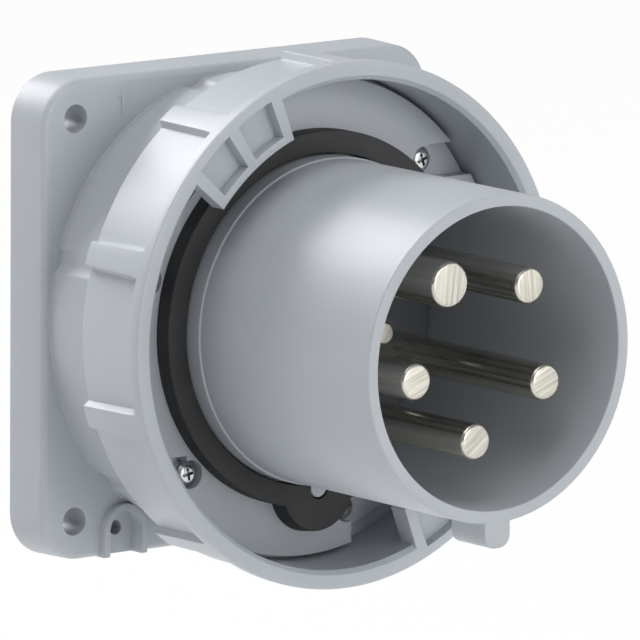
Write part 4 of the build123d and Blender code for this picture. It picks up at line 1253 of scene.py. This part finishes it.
# %% [markdown]
# ## Behind the flange
#
# A stranger to this plug sees its back before it is mounted: a round terminal holder with a wire
# entry behind each pin and openings in its side for the terminals' clamping screws. All of them
# are cut as real holes, because the plated terminals inside show through them.

# %% Terminal holder
HOLDER_RADIUS, HOLDER_REAR, HOLDER_SEAT = 33.5, -26.0, 10.5
ENTRY_FLARE = 2.5


def entry_cutter(pin):
    """A flared wire entry, and the room in which the terminal stands."""
    room, rear, entry = pin.kind.terminal + PLAY, pin.kind.terminal_rear - PLAY, pin.kind.wire_bore
    outline = [(0, HOLDER_REAR - PAST), (entry + ENTRY_FLARE, HOLDER_REAR - PAST),
               (entry, HOLDER_REAR + 1.5), (entry, rear), (room, rear),
               (room, CARRIER_REAR + PAST), (0, CARRIER_REAR + PAST)]
    return spin_outline(outline, PIN_HOLE_STEPS, False, pin.centre)


def holder_form():
    form = spin_outline([
        (0, HOLDER_REAR), (HOLDER_RADIUS, HOLDER_REAR, 1.5), (HOLDER_RADIUS, HOLDER_SEAT, 0.3),
        (SLEEVE_RADIUS, HOLDER_SEAT, 0.4), (SLEEVE_RADIUS, SLEEVE_REAR),
        (CARRIER_RADIUS, SLEEVE_REAR), (CARRIER_RADIUS, CARRIER_REAR), (0, CARRIER_REAR)],
        FINE, False)
    form = cut(form, *[entry_cutter(pin) for pin in PINS])
    openings = [cross_bar(pin.kind.access_bore, pin.angle, pin.distance + pin.kind.access_start,
                          HOLDER_RADIUS + PAST, forward)
                for pin in PINS for forward in pin.kind.clamps]
    return cut(form, gather(openings), holder_screw_holes(HOLDER_SEAT - PAST, SLEEVE_REAR + PAST))


finish_piece(holder_form(), "terminal_holder_look", insulator_plastic, "inlet",
             "terminal_holder")

# %% Holder screws and the flange's seal
def holder_screw_forms():
    """The same screw as in front, turned to be driven from behind."""
    forms = []
    for i, (x, z) in enumerate(HOLDER_SCREW_SPOTS):
        form = pan_screw(0.0, head_radius=2.1, head_height=1.6, shank_radius=1.25, length=11.0,
                         turn=15 + 25 * i)
        turn = Matrix.Rotation(pi, 3, "X")
        bmesh.ops.rotate(form, verts=form.verts, cent=(0, 0, 0), matrix=turn)
        bmesh.ops.translate(form, verts=form.verts, vec=(x, -HOLDER_SEAT, z))
        forms.append(form)
    return gather(forms)


def flange_seal_form():
    return spin_outline([
        (FLANGE_SEAL_INNER, 0.0, 0.3), (FLANGE_SEAL_OUTER, 0.0, 0.3),
        (FLANGE_SEAL_OUTER, FLANGE_SEAL_DEPTH), (FLANGE_SEAL_INNER, FLANGE_SEAL_DEPTH)])


finish_piece(holder_screw_forms(), "holder_screws_look", screw_steel, "inlet", "holder_screws",
             limit=CRISP_LIMIT_SCREWS)
finish_piece(flange_seal_form(), "flange_gasket_look", seal_rubber, "inlet", "flange_gasket")

# %% [markdown]
# ## Pieces that keep their CAD shape
#
# The ring seals and clamping screws sit inside the plug, where only a glimpse of them is ever
# caught. Their CAD shapes are right, so they only get the same finishes.

# %% Finishes for the inner pieces
INNER_FINISHES = {
    "body_seal": seal_rubber, "carrier_seal": seal_rubber, "pin_seals": seal_rubber,
    "clamp_screws": screw_steel, "pilot_clamp_screw": screw_steel,
}
for name, finish in INNER_FINISHES.items():
    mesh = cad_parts[name].data
    mesh.materials.clear()
    mesh.materials.append(finish)
print("finished:", sorted(INNER_FINISHES))
